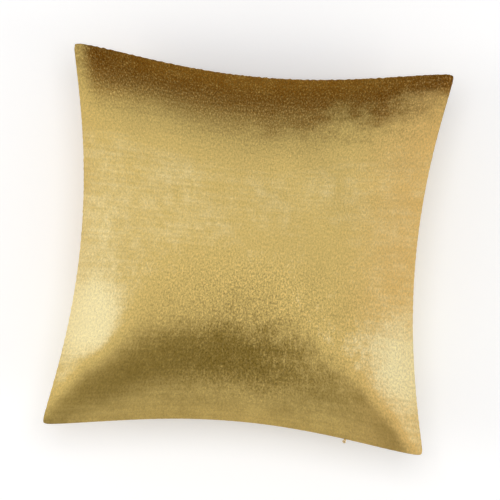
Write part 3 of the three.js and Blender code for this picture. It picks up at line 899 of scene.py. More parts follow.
@dataclass
class StuffedCloth:
    """Two flat panels sewn along their edges and filled, settled by a cloth simulation."""

    form: PillowForm
    cells: int = 56
    panel: float = 0.454
    frames: int = 20
    pressure: float = 3.0
    ironing: int = 14

    def settle(self) -> dict[Side, np.ndarray]:
        """Settles the cloth.

        Returns:
            For each side the knots' places, as x, y and the height above the seam, which is never negative.
        """
        u, v = square(np.linspace(-1.0, 1.0, self.cells + 1))
        start = np.concatenate([self.form.outline(u, v, soft=False), self.form.rise(u, v)[..., None]], -1)
        settled = self._simulate(u, v, start)
        for side, knots in settled.items():
            knots[..., 2] *= side.value
            self._iron(knots)
            knots[..., 2] = np.maximum(knots[..., 2] * (self.form.crown / knots[..., 2].max()), 0.0)
        return settled

    def _iron(self, knots: np.ndarray) -> None:
        """Takes out creases of a few knots' length: each knot goes halfway to its neighbours' mean."""
        for _ in range(self.ironing):
            around = knots[:-2, 1:-1] + knots[2:, 1:-1] + knots[1:-1, :-2] + knots[1:-1, 2:]
            knots[1:-1, 1:-1] = 0.5 * knots[1:-1, 1:-1] + 0.125 * around

    def _simulate(self, u: np.ndarray, v: np.ndarray, start: np.ndarray) -> dict[Side, np.ndarray]:
        """Runs the simulation on a throwaway mesh.

        The mesh starts as the plain crown, both sides of one rim. Its rest shape is the flat panel, and the
        rim is pinned along the sewn outline, so that pressure alone decides the faces.

        Args:
            u: the knots' places across.
            v: the knots' places up.
            start: the front's starting places.

        Returns:
            For each side the knots' places after the last frame.
        """
        edge = on_rim(u, v)
        front = np.arange(u.size).reshape(u.shape)
        back = front.copy()
        back[~edge] = u.size + np.arange((~edge).sum())
        reach = self.panel / 2
        rest_front = np.stack([u * reach, v * reach, np.where(edge, 0.0, 1.0 * MM)], -1)
        places, rest = np.zeros((2, int(back.max()) + 1, 3))
        places[back], rest[back] = start * (1.0, 1.0, -1.0), rest_front * (1.0, 1.0, -1.0)
        places[front], rest[front] = start, rest_front
        sheet = Sheet()
        sheet.add(places)
        sheet.quads(front)
        sheet.quads(back, turned=True)
        body = sheet.make("settling_cloth", None)
        body.shape_key_add(name="Basis")
        flat = body.shape_key_add(name="flat")
        flat.data.foreach_set("co", rest.ravel())
        sewn = body.vertex_groups.new(name="sewn")
        sewn.add(front[edge].tolist(), 1.0, "REPLACE")
        modifier = body.modifiers.new("cloth", "CLOTH")
        settings = {
            "rest_shape_key": flat,
            "vertex_group_mass": sewn.name,
            "pin_stiffness": 10.0,
            "quality": 8,
            "mass": 0.0002,
            "tension_stiffness": 40.0,
            "compression_stiffness": 10.0,
            "shear_stiffness": 8.0,
            "bending_stiffness": 2.0,
            "tension_damping": 15.0,
            "compression_damping": 15.0,
            "shear_damping": 15.0,
            "bending_damping": 2.0,
            "use_pressure": True,
            "uniform_pressure_force": self.pressure,
            "air_damping": 3.0,
        }
        for name, value in settings.items():
            setattr(modifier.settings, name, value)
        modifier.settings.effector_weights.gravity = 0.0
        modifier.collision_settings.use_self_collision = False
        modifier.collision_settings.use_collision = False
        modifier.point_cache.frame_start = 1
        modifier.point_cache.frame_end = self.frames
        for step in range(1, self.frames + 1):
            bpy.context.scene.frame_set(step)
        evaluated = body.evaluated_get(bpy.context.evaluated_depsgraph_get()).data
        found = np.zeros(places.size)
        evaluated.vertices.foreach_get("co", found)
        found = found.reshape(-1, 3)
        bpy.context.scene.frame_set(1)
        mesh = body.data
        bpy.data.objects.remove(body)
        bpy.data.meshes.remove(mesh)
        return {Side.FRONT: found[front], Side.BACK: found[back]}


def spline_weights(count: int, at: np.ndarray) -> np.ndarray:
    """Weights that read a smooth curve through even knots from -1 to 1.

    The curve is a natural cubic spline: between two knots it is the straight mix of them plus a cubic share
    of their second slopes, which solve the usual three-term equations and are 0 at both ends.

    Args:
        count: how many knots there are.
        at: where the curve is read.

    Returns:
        One row of weights for each place, to be multiplied with the knots.
    """
    step = 2.0 / (count - 1)
    inner = np.arange(1, count - 1)
    left = np.eye(count)
    right = np.zeros((count, count))
    left[inner, inner] = 4.0
    right[inner, inner] = -12.0 / step**2
    for beside in (inner - 1, inner + 1):
        left[inner, beside] = 1.0
        right[inner, beside] = 6.0 / step**2
    slopes = np.linalg.solve(left, right)
    place = (at + 1.0) / step
    knot = np.clip(np.floor(place).astype(int), 0, count - 2)
    far = (place - knot)[:, None]
    near = 1.0 - far
    rows = np.eye(count)
    bend = (near**3 - near) * slopes[knot] + (far**3 - far) * slopes[knot + 1]
    return near * rows[knot] + far * rows[knot + 1] + step**2 / 6.0 * bend


@dataclass(frozen=True)
class SeamPucker:
    """Small gathers that the stitching leaves in the cloth, which fade away from the seam."""

    form: PillowForm
    seed: int
    fine_depth: tuple = (0.20 * MM, 0.20 * MM, 0.07 * MM, 0.42 * MM)
    fine_fade: float = 7.0 * MM
    fine_length: tuple = (6.5 * MM, 13.0 * MM)
    draw_depth: float = 0.42 * MM
    draw_fade: float = 30.0 * MM
    draw_length: tuple = (26.0 * MM, 70.0 * MM)
    lump_depth: float = 0.75 * MM
    lump_length: tuple = (60.0 * MM, 150.0 * MM)
    waves: int = 7
    wave_height: float = 2.6
    lumps: int = 12
    lump_height: float = 3.0

    def _waves(self, draw: np.random.Generator, along: np.ndarray, length: tuple) -> np.ndarray:
        """A sum of sines along one side, with random lengths between two and random phases."""
        lengths = draw.uniform(*length, self.waves)
        phases = draw.uniform(0.0, math.tau, self.waves)
        sines = (np.sin(math.tau * along / wave + phase) for wave, phase in zip(lengths, phases))
        return sum(sines) / self.wave_height

    def depth(self, u: np.ndarray, v: np.ndarray) -> np.ndarray:
        """How far the cloth stands out from its smooth shape.

        Each side adds short gathers and longer draws along it, both fading as e to the power of minus the
        distance from the seam. The middle adds low lumps of filling, which fade towards every seam.

        Args:
            u: the place across, from -1 to 1.
            v: the place up, from -1 to 1.

        Returns:
            The depth along the normal.
        """
        draw = np.random.default_rng(self.seed)
        half = self.form.half
        total = np.zeros(np.broadcast(u, v).shape)
        sides = ((1.0 - u, v), (1.0 + u, v), (1.0 + v, u), (1.0 - v, u))
        for (away, along), fine in zip(sides, self.fine_depth):
            gap = away * half
            gathers = self._waves(draw, along * half, self.fine_length)
            total += fine * np.exp(-gap / self.fine_fade) * gathers
            fading = gap / self.draw_fade
            draws = self._waves(draw, along * half, self.draw_length)
            total += self.draw_depth * fading * np.exp(1.0 - fading) * draws
        lengths = draw.uniform(*self.lump_length, self.lumps)
        turns, phases = (draw.uniform(0.0, math.tau, self.lumps) for _ in range(2))
        lumps = np.zeros_like(total)
        for length, turn, phase in zip(lengths, turns, phases):
            place = (u * math.cos(turn) + v * math.sin(turn)) * half
            lumps += np.sin(math.tau * place / length + phase)
        inside = (1.0 - u**6) * (1.0 - v**6)
        return total + lumps / self.lump_height * self.lump_depth * inside


@dataclass
class CrownedFace:
    """One settled face, which can be read at any fineness and set inside itself for inner layers."""

    form: PillowForm
    side: Side
    knots: np.ndarray

    def points(self, steps: np.ndarray, inset: float, lower: float, base: np.ndarray | float) -> np.ndarray:
        """The face on a grid.

        Args:
            steps: the grid's places across and up, from -1 to 1.
            inset: how far inside the seam its rim is.
            lower: how far it lies below the crown.
            base: how high above the seam's plane its rim stands.

        Returns:
            x, y and z on the grid.
        """
        form = self.form
        weights = spline_weights(len(self.knots), steps)
        face = np.einsum("ai,ijk,bj->abk", weights, self.knots, weights)
        u, v = square(steps)
        reach_x, reach_y = form.reach(face[..., 0] / form.half, face[..., 1] / form.half)
        face[..., 0] *= (1.0 - inset / reach_x) * form.trim(v)
        face[..., 1] *= (1.0 - inset / reach_y) * form.trim(u)
        share = np.clip(face[..., 2], 0.0, None) / form.crown
        face[..., 2] = base + (form.crown - lower - base) * share
        rim = on_rim(u, v)
        face[rim, :2] = form.outline(u, v, inset)[rim]
        face[rim, 2] = np.broadcast_to(base, u.shape)[rim]
        return self.placed(face, lower)

    def placed(self, points: np.ndarray, lower: float) -> np.ndarray:
        """Turns heights above the seam into heights above the floor, pressed flat where the pillow rests."""
        points = points.copy()
        points[..., 2] = self.form.seam + self.side.value * points[..., 2]
        if self.side is Side.BACK:
            points[..., 2] = self.form.pressed(points[..., 2], lower)
        return points


# --------------------------------------------- Sewn shells ---------------------------------------------


@dataclass(frozen=True)
class ZipZone:
    """Where the seam's fold is held open for the zip."""

    raised_half: float = 152.2 * MM
    closed_half: float = 164.2 * MM

    def share(self, x: np.ndarray, v: np.ndarray) -> np.ndarray:
        """1 along the zip and 0 where the seam is closed, with a smooth change between them.

        Args:
            x: the place along the side.
            v: the place up the pillow, from -1 to 1; the zip is at -1.

        Returns:
            The share.
        """
        along = (self.closed_half - np.abs(x)) / (self.closed_half - self.raised_half)
        return eased(along) * np.clip(-v, 0.0, 1.0) ** 8


@dataclass(frozen=True)
class Hem:
    """The fold at a seam and the allowance behind it, as a profile of distance inwards and height."""

    wall: float
    fold: float
    gap: float
    allowance: float
    zip_gap: float = 0.0
    zip_height: float = 0.0

    def _arc(self, turn: float, foot: float) -> np.ndarray:
        """The fold itself: five steps round a circle of its radius, down to a height."""
        angle = np.radians(np.linspace(0.0, turn, 5))
        return np.stack([self.fold * (1.0 - np.cos(angle)), foot + self.fold * (1.0 - np.sin(angle))], -1)

    def plain(self) -> np.ndarray:
        """A quarter turn of the fold's radius, then straight inwards."""
        inwards = self.fold + (self.allowance - self.fold) * np.array([0.12, 0.2, 0.4, 0.7, 1.0])
        return np.concatenate([self._arc(90.0, self.gap), np.stack([inwards, np.full(5, self.gap)], -1)])

    def beside_zip(self) -> np.ndarray:
        """A half turn of the same radius, straight up behind it, and inwards again over the tape."""
        back, bend, high = 2.0 * self.fold, 0.3 * self.wall, self.zip_height
        rest = [
            (back, high - 2.2 * bend),
            (back + 0.7 * bend, high - 0.7 * bend),
            (back + 2.5 * bend, high),
            ((back + self.allowance) / 2.0, high),
            (self.allowance, high),
        ]
        return np.concatenate([self._arc(180.0, self.zip_gap), rest])

    def inner(self, profile: np.ndarray) -> np.ndarray:
        """The profile of the cloth's other face: a wall's thickness away, along the profile's normal."""
        step = unit(np.gradient(profile, axis=0))
        return profile + self.wall * np.stack([-step[:, 1], step[:, 0]], -1)

    def mixed(self, share: np.ndarray, inner: bool) -> np.ndarray:
        """The profile at each place of the seam.

        Args:
            share: how much each place belongs to the zip, from 0 to 1.
            inner: whether the cloth's inner face is wanted.

        Returns:
            For each step of the profile and each place, the distance inwards and the height.
        """
        plain = self.plain()
        raised = self.beside_zip() if self.zip_height else plain
        if inner:
            plain, raised = self.inner(plain), self.inner(raised)
        weight = share[None, :, None]
        return plain[:, None] * (1.0 - weight) + raised[:, None] * weight


@dataclass
class SewnPanel:
    """One panel with two skins: its face, the fold at the seam and the allowance turned inside."""

    face: CrownedFace
    hem: Hem
    cells: int
    inset: float = 0.0
    lower: float = 0.0
    cloth_half: float = VELVET_HALF
    zone: ZipZone | None = None
    pucker: SeamPucker | None = None
    ease: float = 0.16
    pucker_fade: float = 3.0 * MM
    resting: float = -0.9

    def sheet(self) -> Sheet:
        """The panel's points and faces.

        The outer skin is the face's grid and rings that follow the hem's profile. The inner skin lies a
        wall's thickness behind it with half as many points. They meet at the allowance's raw edge.

        Returns:
            The sheet.
        """
        side, wall = self.face.side, self.hem.wall
        steps = panel_steps(self.cells, self.ease)
        u, v = square(steps)
        share = self.zone.share(self.face.form.outline(u, v)[..., 0], v) if self.zone else np.zeros_like(u)
        depth = self.pucker.depth(u, v) if self.pucker else np.zeros_like(u)
        rim_height = self.hem.mixed(share.ravel(), inner=False)[0, :, 1].reshape(share.shape)
        outer = self.face.points(steps, self.inset, self.lower, rim_height)
        normal = grid_normals(outer) * side.value
        outer = outer + normal * depth[..., None]
        if side is Side.BACK:
            outer[..., 2] = np.maximum(outer[..., 2], self.lower)
        inner = (outer - normal * wall)[::2, ::2]
        if side is Side.BACK:
            laid = outer[::2, ::2, 2] + wall
            inner[..., 2] = np.where(normal[::2, ::2, 2] < self.resting, laid, inner[..., 2])

        rims = [once_round(grid) for grid in (u, v, depth, share)]
        outer_rings = self._rings(*rims, inner=False)
        inner_rings = self._rings(*(rim[::2] for rim in rims), inner=True)
        run = self.cloth_half + run_along(self.hem.plain())
        ring_flat = np.stack(rims[:2], -1)[None] * run[:, None, None]
        flat = np.stack([u, v], -1) * self.cloth_half

        flipped = side is Side.BACK
        sheet = Sheet()
        outer_grid = sheet.add(outer, flat)
        inner_grid = sheet.add(self._with_rim(inner, inner_rings[0]), flat[::2, ::2])
        sheet.quads(outer_grid, turned=flipped)
        sheet.quads(inner_grid, turned=not flipped)
        down = np.concatenate([once_round(outer_grid)[None], sheet.add(outer_rings[1:], ring_flat[1:])])
        up = np.concatenate([once_round(inner_grid)[None], sheet.add(inner_rings[1:], ring_flat[1:, ::2])])
        sheet.rings(down, turned=flipped)
        sheet.rings(up, turned=not flipped)
        sheet.step_down(down[-1], up[-1], turned=flipped)
        return sheet

    def _with_rim(self, grid: np.ndarray, rim: np.ndarray) -> np.ndarray:
        """The grid with its rim replaced, going once round in the same order as once_round."""
        grid = grid.copy()
        first, second, third, fourth = np.split(rim, 4)
        grid[:-1, 0] = first
        grid[-1, :-1] = second
        grid[:0:-1, -1] = third
        grid[0, :0:-1] = fourth
        return grid

    def _rings(
        self, u: np.ndarray, v: np.ndarray, depth: np.ndarray, share: np.ndarray, inner: bool
    ) -> np.ndarray:
        """The rings of the hem, one for each step of its profile.

        Args:
            u: the rim's places across.
            v: the rim's places up.
            depth: how far the gathers push the rim out.
            share: how much each place belongs to the zip.
            inner: whether these are the inner skin's rings.

        Returns:
            Points for each step of the profile and each place of the rim.
        """
        profile = self.hem.mixed(share, inner)
        faded = depth[None] * np.exp(-profile[..., 0] / self.pucker_fade)
        flat = self.face.form.outline(u[None], v[None], self.inset + profile[..., 0] - faded)
        return self.face.placed(np.concatenate([flat, profile[..., 1:]], -1), self.lower)


@dataclass
class Cover:
    """The velvet outer cover: a front and a back panel, sewn together with the zip in one side."""

    form: PillowForm
    faces: dict[Side, CrownedFace]
    zone: ZipZone
    cells: int = 240
    hem: Hem = Hem(
        wall=1.2 * MM, fold=1.3 * MM, gap=0.2 * MM, allowance=12.0 * MM, zip_gap=1.1 * MM, zip_height=4.8 * MM
    )
    seeds: tuple = (11, 23)
    fill: float = 0.85

    def build(self) -> list[bpy.types.Object]:
        """Builds both panels and stands them in for the CAD's."""
        pieces = []
        for side, seed in zip(Side, self.seeds):
            pucker = SeamPucker(self.form, seed)
            panel = SewnPanel(self.faces[side], self.hem, self.cells, zone=self.zone, pucker=pucker)
            velvet = Velvet(f"gold_velvet_{side.label}", side).material()
            name, node = f"velvet_{side.label}", f"cover_{side.label}"
            pieces.append(panel.sheet().piece(name, velvet, "velvet", node, fill=self.fill))
        return pieces


@dataclass
class Insert:
    """The pillow's inner cushion: a plain woven casing, its seam and the filling."""

    form: PillowForm
    faces: dict[Side, CrownedFace]
    inset: float = 17.0 * MM
    lower: float = 3.6 * MM
    hem: Hem = Hem(wall=0.6 * MM, fold=0.7 * MM, gap=0.2 * MM, allowance=7.0 * MM)
    cells: int = 128
    thread_inset: float = 3.7 * MM
    thread_gap: float = 0.25 * MM
    stitch_pitch: float = 2.6 * MM
    stitch_half: float = 1.15 * MM
    stitch_radius: float = 0.25 * MM
    fill_inset: float = 26.2 * MM
    fill_lower: float = 7.4 * MM
    fill_cells: int = 110
    fill_ease: float = 0.1
    tuft_depth: float = 1.1 * MM
    casing_fill: float = 0.85
    fibre_fill: float = 0.8
    cloth: Weave = Weave(
        "casing_cloth", (0.84, 0.83, 0.79), (0.60, 0.58, 0.53), pitch=0.7 * MM, roughness=0.82, sheen=0.15,
        depth=0.12 * MM,
    )
    thread: Thread = Thread("casing_thread", (0.80, 0.79, 0.75))
    fibre: Fibre = Fibre("fibre_filling")

    def build(self) -> list[bpy.types.Object]:
        """Builds the casing's panels, its seam and the filling."""
        material = self.cloth.material()
        pieces = []
        for side in Side:
            panel = SewnPanel(self.faces[side], self.hem, self.cells, self.inset, self.lower, self.form.half)
            name, node = f"casing_{side.label}", f"insert_{side.label}"
            pieces.append(panel.sheet().piece(name, material, "casing_cloth", node, fill=self.casing_fill))
        return [*pieces, self.seam(), self.filling()]

    def seam(self) -> bpy.types.Object:
        """The casing's closing stitches, all the way round on its allowance."""
        height = self.hem.gap + self.hem.wall + self.thread_gap
        line, _ = self.form.rim(self.inset + self.thread_inset, height)
        line = spaced(np.concatenate([line, line[:1]]), self.stitch_pitch)[:-1]
        along = np.roll(line, -1, 0) - np.roll(line, 1, 0)
        sheet = Sheet()
        sheet.stitches(line, along, self.stitch_half, self.stitch_radius)
        name, node = "casing_seam_stitches", "insert_seam_thread"
        return sheet.piece(name, self.thread.material(), "sewing_thread", node)

    def filling(self) -> bpy.types.Object:
        """The filling: the settled shape set inside the casing, dented by tufts.

        The dent at a place is the tuft depth times the squared sine product of two slanting waves, so that it
        only ever goes inwards.

        Returns:
            The piece.
        """
        steps = panel_steps(self.fill_cells, self.fill_ease)
        u, v = square(steps)
        waves = np.sin(37.0 * u + 11.0 * v + 2.0 * np.sin(9.0 * v)) * np.sin(29.0 * v - 13.0 * u)
        dent = (self.tuft_depth * waves**2 * (1 - u**4) * (1 - v**4))[..., None]
        sheet = Sheet()
        grids = {}
        for side in Side:
            points = self.faces[side].points(steps, self.fill_inset, self.fill_lower, 0.0)
            points = points - grid_normals(points) * side.value * dent
            grids[side] = sheet.add(points, np.stack([u, v], -1) * self.form.half)
        rim = on_rim(u, v)
        grids[Side.BACK][rim] = grids[Side.FRONT][rim]
        sheet.quads(grids[Side.FRONT])
        sheet.quads(grids[Side.BACK], turned=True)
        return sheet.piece(
            "fibre_filling", self.fibre.material(), "fibre", "fibre_fill", fill=self.fibre_fill
        )


# ---------------------------------------------- The zip's arc ----------------------------------------------


@dataclass(frozen=True)
class ZipArc:
    """The circle that the zip's side of the seam follows, which is also the slider's path."""

    seam: float
    centre_y: float
    radius: float

    @staticmethod
    def from_frame(form: PillowForm) -> "ZipArc":
        """Takes the circle through the middle of the -Y side from the slider's hinge."""
        joints = frame["record"]["behaviour"]["joints"]
        joint = next(joint for joint in joints if joint["name"] == "zip_travel")
        centre_y = joint["pos_m"][1]
        return ZipArc(form.seam, centre_y, -(form.half - form.pull_y) - centre_y)

    def directions(self, x: Any) -> tuple[np.ndarray, np.ndarray]:
        """The directions along the zip and inwards, at places along the side."""
        sine = np.asarray(x, float) / self.radius
        cosine = np.sqrt(1.0 - sine**2)
        level = np.zeros_like(sine)
        return np.stack([cosine, -sine, level], -1), np.stack([sine, cosine, level], -1)

    def at(self, x: Any, inset: Any, height: Any) -> np.ndarray:
        """Points at places along the side, some way inside the fold and above the seam's plane."""
        _, inwards = self.directions(x)
        centre = np.array([0.0, self.centre_y, self.seam])
        out = (self.radius + np.asarray(inset, float))[..., None]
        return centre + inwards * out + np.asarray(height, float)[..., None] * UP

    def line(self, half: float, inset: float, height: float, step: float = 0.5 * MM) -> np.ndarray:
        """A level line along the zip, half to either side of its middle."""
        return self.at(np.linspace(-half, half, max(2, round(2 * half / step))), inset, height)

    def axes(self, x: float) -> np.ndarray:
        """The zip's own axes at a place along it: along, inwards and up, then the fold's point as origin."""
        return np.stack([*self.directions(x), UP, self.at(x, 0.0, 0.0)])


# --------------------------------------- Sewing inside the cover ---------------------------------------


@dataclass
class SeamSewing:
    """The cover's closing stitches, the overlocked raw edges and the care label."""

    form: PillowForm
    faces: dict[Side, CrownedFace]
    zone: ZipZone
    arc: ZipArc
    insert: Insert
    thread_inset: float = 5.5 * MM
    thread_height: float = 1.7 * MM
    stitch_pitch: float = 3.0 * MM
    stitch_half: float = 1.35 * MM
    stitch_radius: float = 0.28 * MM
    overlock_inset: float = 11.3 * MM
    overlock_reach: float = 1.5 * MM
    overlock_rise: float = 1.55 * MM
    overlock_pitch: float = 2.4 * MM
    overlock_thread: float = 0.15 * MM
    overlock_sides: int = 5
    zip_overlock_half: float = 129.5 * MM
    zip_overlock_height: float = 5.4 * MM
    zip_overlock_rise: float = 0.76 * MM
    label_width: float = 25.0 * MM
    label_start: float = 6.8 * MM
    label_end: float = 27.0 * MM
    label_foot: float = 2.4 * MM
    label_wall: float = 0.2 * MM
    label_ease: float = 12.0 * MM
    cover_rim: float = 1.5 * MM
    casing_rim: float = 0.9 * MM
    face_cells: int = 240
    face_ease: float = 0.16
    thread: Thread = Thread("gold_thread", (0.40, 0.255, 0.075))
    satin: Weave = Weave(
        "label_satin", (0.86, 0.85, 0.81), (0.70, 0.68, 0.62), pitch=0.35 * MM, roughness=0.38, sheen=0.4,
        depth=0.03 * MM, rib=2.0,
    )

    def plain_seam(self, inset: float, height: float) -> np.ndarray:
        """The closed part of the seam as a level line, from one end of the zip round to the other."""
        line, v = self.form.rim(inset, height)
        bottom = v < -1 + 1e-9
        start = int(np.argmax(bottom & (line[:, 0] > self.zone.closed_half)))
        zipped = bottom & (np.abs(line[:, 0]) <= self.zone.closed_half)
        order = np.roll(np.arange(len(v)), -start)
        return line[order][~zipped[order]]

    def build(self) -> list[bpy.types.Object]:
        """Builds the stitches, the overlock and the label."""
        gold = self.thread.material()
        sheet = Sheet()
        line = spaced(self.plain_seam(self.thread_inset, self.thread_height), self.stitch_pitch)
        sheet.stitches(line, np.gradient(line, axis=0), self.stitch_half, self.stitch_radius)
        pieces = [sheet.piece("cover_seam_stitches", gold, "sewing_thread", "seam_thread")]
        plain = self.plain_seam(self.overlock_inset, 0.0)
        runs = [(plain, self.overlock_rise, "overlock_closed_sides", "overlock_plain_sides")]
        for side in Side:
            height = side.value * self.zip_overlock_height
            edge = self.arc.line(self.zip_overlock_half, self.overlock_inset, height)
            names = f"overlock_zip_side_{side.label}", f"overlock_zip_{side.label}"
            runs.append((edge, self.zip_overlock_rise, *names))
        for line, rise, name, node in runs:
            path, along = looped(line, self.overlock_reach, rise, self.overlock_pitch)
            sheet = Sheet()
            sheet.tube(path, along, self.overlock_thread, self.overlock_sides)
            pieces.append(sheet.piece(name, gold, "sewing_thread", node))
        return [*pieces, self.label()]

    def _height_between(self, x: np.ndarray) -> np.ndarray:
        """The height halfway between the cover and the casing on the -X side's middle line."""
        steps = panel_steps(self.face_cells, self.face_ease)
        middle = len(steps) // 2
        face, insert = self.faces[Side.FRONT], self.insert
        cover = face.points(steps, 0.0, 0.0, self.cover_rim)[: middle + 1, middle]
        casing = face.points(steps, insert.inset, insert.lower, self.casing_rim)[: middle + 1, middle]
        outer = np.interp(x, cover[:, 0], cover[:, 2])
        inner = np.interp(x, casing[:, 0], casing[:, 2], left=self.form.seam)
        return (outer + inner) / 2

    def label(self) -> bpy.types.Object:
        """The blank care label: a satin strip folded in two, sewn in at the -X side and lying on the casing.

        The strip's middle line goes inwards halfway between the cover and the casing, turns in a half circle
        and comes back under itself. It is carried straight across the label's width, with a wall's thickness.

        Returns:
            The piece.
        """
        inset = np.linspace(self.label_start, self.label_end, 22)
        x = -(self.form.half - self.form.pull_x) + inset
        start = self.form.seam + self.label_foot
        ease = np.clip((inset - self.label_start) / self.label_ease, 0.0, 1.0)
        line = np.stack([x, start + (self._height_between(x) - start) * ease**0.9], -1)
        step = unit(np.gradient(line, axis=0))
        away = np.stack([-step[:, 1], step[:, 0]], -1)
        apart = 0.9 * self.label_wall
        turn = np.radians(np.linspace(60.0, -60.0, 5))[:, None]
        loop = line[-1] + apart * (np.cos(turn) * step[-1] + np.sin(turn) * away[-1])
        strip = np.concatenate([line + apart * away, loop, (line - apart * away)[::-1]])
        across = np.linspace(-self.label_width / 2, self.label_width / 2, 9)
        grid = np.stack(np.broadcast_arrays(strip[:, None, 0], across[None, :], strip[:, None, 1]), -1)
        outwards = grid_normals(grid) * self.label_wall / 2
        run = run_along(strip)
        flat = np.stack(np.broadcast_arrays(run[:, None], across[None, :]), -1)
        sheet = Sheet()
        top = sheet.add(grid + outwards, flat)
        low = sheet.add(grid - outwards, flat)
        sheet.quads(top)
        sheet.quads(low, turned=True)
        sheet.rings(np.stack([once_round(low), once_round(top)]), turned=True)
        piece = sheet.piece("care_label_blank", self.satin.material(), "label_satin", "care_label")
        return piece


# ------------------------------------------------- The zip -------------------------------------------------


@dataclass
class ZipFastener:
    """The hidden coil zip: two tapes, two coils, their stitching, the stops and the bar tacks.

    A stop's blocks are each three half sizes and an edge's radius, in millimetres: the crimped jaw, and the
    ridge across it.
    """

    arc: ZipArc
    tape_half: float = 141.0 * MM
    tape_steps: int = 142
    web_inset: float = 3.2 * MM
    tape_wall: float = 0.4 * MM
    web_low: float = 0.9 * MM
    tape_top: float = 4.4 * MM
    leg_end: float = 14.5 * MM
    bevel: float = 0.08 * MM
    coil_half: float = 131.0 * MM
    coil_inset: float = 4.8 * MM
    coil_height: float = 1.55 * MM
    coil_reach: float = 0.64 * MM
    coil_rise: float = 0.70 * MM
    coil_pitch: float = 1.3 * MM
    filament: float = 0.15 * MM
    filament_sides: int = 6
    stitch_inset: float = 9.3 * MM
    stitch_height: float = 3.72 * MM
    stitch_margin: float = 1.0 * MM
    stitch_pitch: float = 2.8 * MM
    stitch_half: float = 1.25 * MM
    stitch_radius: float = 0.2 * MM
    stop_place: float = 132.7 * MM
    top_stop: tuple = ((1.2, 0.8, 0.85, 0.25), (0.5, 0.86, 0.88, 0.3))
    bottom_stop: tuple = ((1.2, 0.8, 2.4, 0.3), (0.45, 0.86, 2.42, 0.3))
    tack_place: float = 136.5 * MM
    tack_inset: float = 1.6 * MM
    tack_stitches: int = 8
    tack_half: float = 1.35 * MM
    tack_row: float = 0.22 * MM
    tack_shift: float = 0.2 * MM
    tack_reach: float = 0.95 * MM
    tape: Weave = Weave(
        "zip_tape_weave", (0.42, 0.27, 0.08), (0.22, 0.13, 0.035), pitch=0.55 * MM, roughness=0.7, sheen=0.25,
        depth=0.06 * MM, rib=0.5,
    )
    nylon: Nylon = Nylon("zip_nylon")
    metal: ZincPlate = ZincPlate("gold_plated_zinc")
    thread: Thread = Thread("zip_thread", (0.38, 0.24, 0.07))

    def build(self) -> list[bpy.types.Object]:
        """Builds every still part of the zip."""
        finishes = (self.tape, self.nylon, self.metal, self.thread)
        tape, nylon, metal, thread = (finish.material() for finish in finishes)
        parts = []
        for side in Side:
            name = side.label
            stitching = self._stitching(side)
            stop = self._stop(self.stop_place, side.value, self.top_stop)
            parts += [
                (self._tape(side), f"tape_{name}", tape, "zip_tape", f"zip_tape_{name}"),
                (self._coil(side), f"coil_{name}", nylon, "zip_nylon", f"zip_coil_{name}"),
                (stitching, f"tape_stitches_{name}", thread, "sewing_thread", f"zip_stitching_{name}"),
                (stop, f"top_stop_{name}", metal, "zip_metal", f"zip_top_stop_{name}"),
            ]
        stop = self._stop(-self.stop_place, 0, self.bottom_stop)
        parts.append((stop, "bottom_stop", metal, "zip_metal", "zip_bottom_stop"))
        for name, place in (("left", -self.tack_place), ("right", self.tack_place)):
            parts.append((self._tack(place), f"tack_{name}", thread, "sewing_thread", f"bar_tack_{name}"))
        return [
            sheet.piece(f"zip_{name}_detail", material, slot, node, smooth=material is not tape)
            for sheet, name, material, slot, node in parts
        ]

    def _tape(self, side: Side) -> Sheet:
        """One tape: a web behind the fold and a leg on the allowance, an L-shape carried along the arc."""
        low, high, near, far, bevel = self.web_low, self.tape_top, self.web_inset, self.leg_end, self.bevel
        inside, under = near + self.tape_wall, high - self.tape_wall
        section = np.array(
            [
                (near, low + bevel), (near + bevel, low), (inside - bevel, low), (inside, low + bevel),
                (inside, under - bevel), (inside + bevel, under), (far - bevel, under), (far, under + bevel),
                (far, high - bevel), (far - bevel, high), (near + bevel, high), (near, high - bevel),
            ]
        )
        web, leg = [0, 1, 2, 3, 4, 11], [4, 5, 6, 7, 8, 9, 10, 11]
        x = np.linspace(-self.tape_half, self.tape_half, self.tape_steps)[:, None]
        points = self.arc.at(x, section[None, :, 0], side.value * section[None, :, 1])
        sheet = Sheet()
        grid = sheet.add(points, np.stack(np.broadcast_arrays(x, run_along(section)[None, :]), -1))
        outwards = side is Side.FRONT
        sheet.rings(grid, turned=outwards)
        for end, turned in ((grid[0], outwards), (grid[-1], not outwards)):
            for part in (web, leg):
                sheet.faces.append(end[part[::-1] if turned else part].tolist())
        return sheet

    def _coil(self, side: Side) -> Sheet:
        """One coil: a filament wound along the arc, flattened towards its tape."""
        line = self.arc.line(self.coil_half - self.filament, self.coil_inset, side.value * self.coil_height)
        path, along = looped(line, self.coil_reach, self.coil_rise, self.coil_pitch)
        sheet = Sheet()
        sheet.tube(path, along, self.filament, self.filament_sides)
        return sheet

    def _stitching(self, side: Side) -> Sheet:
        """The stitches that hold one tape's leg to the allowance."""
        half, height = self.tape_half - self.stitch_margin, side.value * self.stitch_height
        line = spaced(self.arc.line(half, self.stitch_inset, height), self.stitch_pitch)
        sheet = Sheet()
        sheet.stitches(line, np.gradient(line, axis=0), self.stitch_half, self.stitch_radius)
        return sheet

    def _stop(self, x: float, side: int, blocks: tuple) -> Sheet:
        """A crimped stop of two blocks: on one side's coil, or on both where side is 0."""
        sheet = Sheet()
        centre = (0.0, self.coil_inset, side * self.coil_height)
        for *half, radius in blocks:
            sheet.block(centre, np.array(half) * MM, radius * MM, self.arc.axes(x))
        return sheet

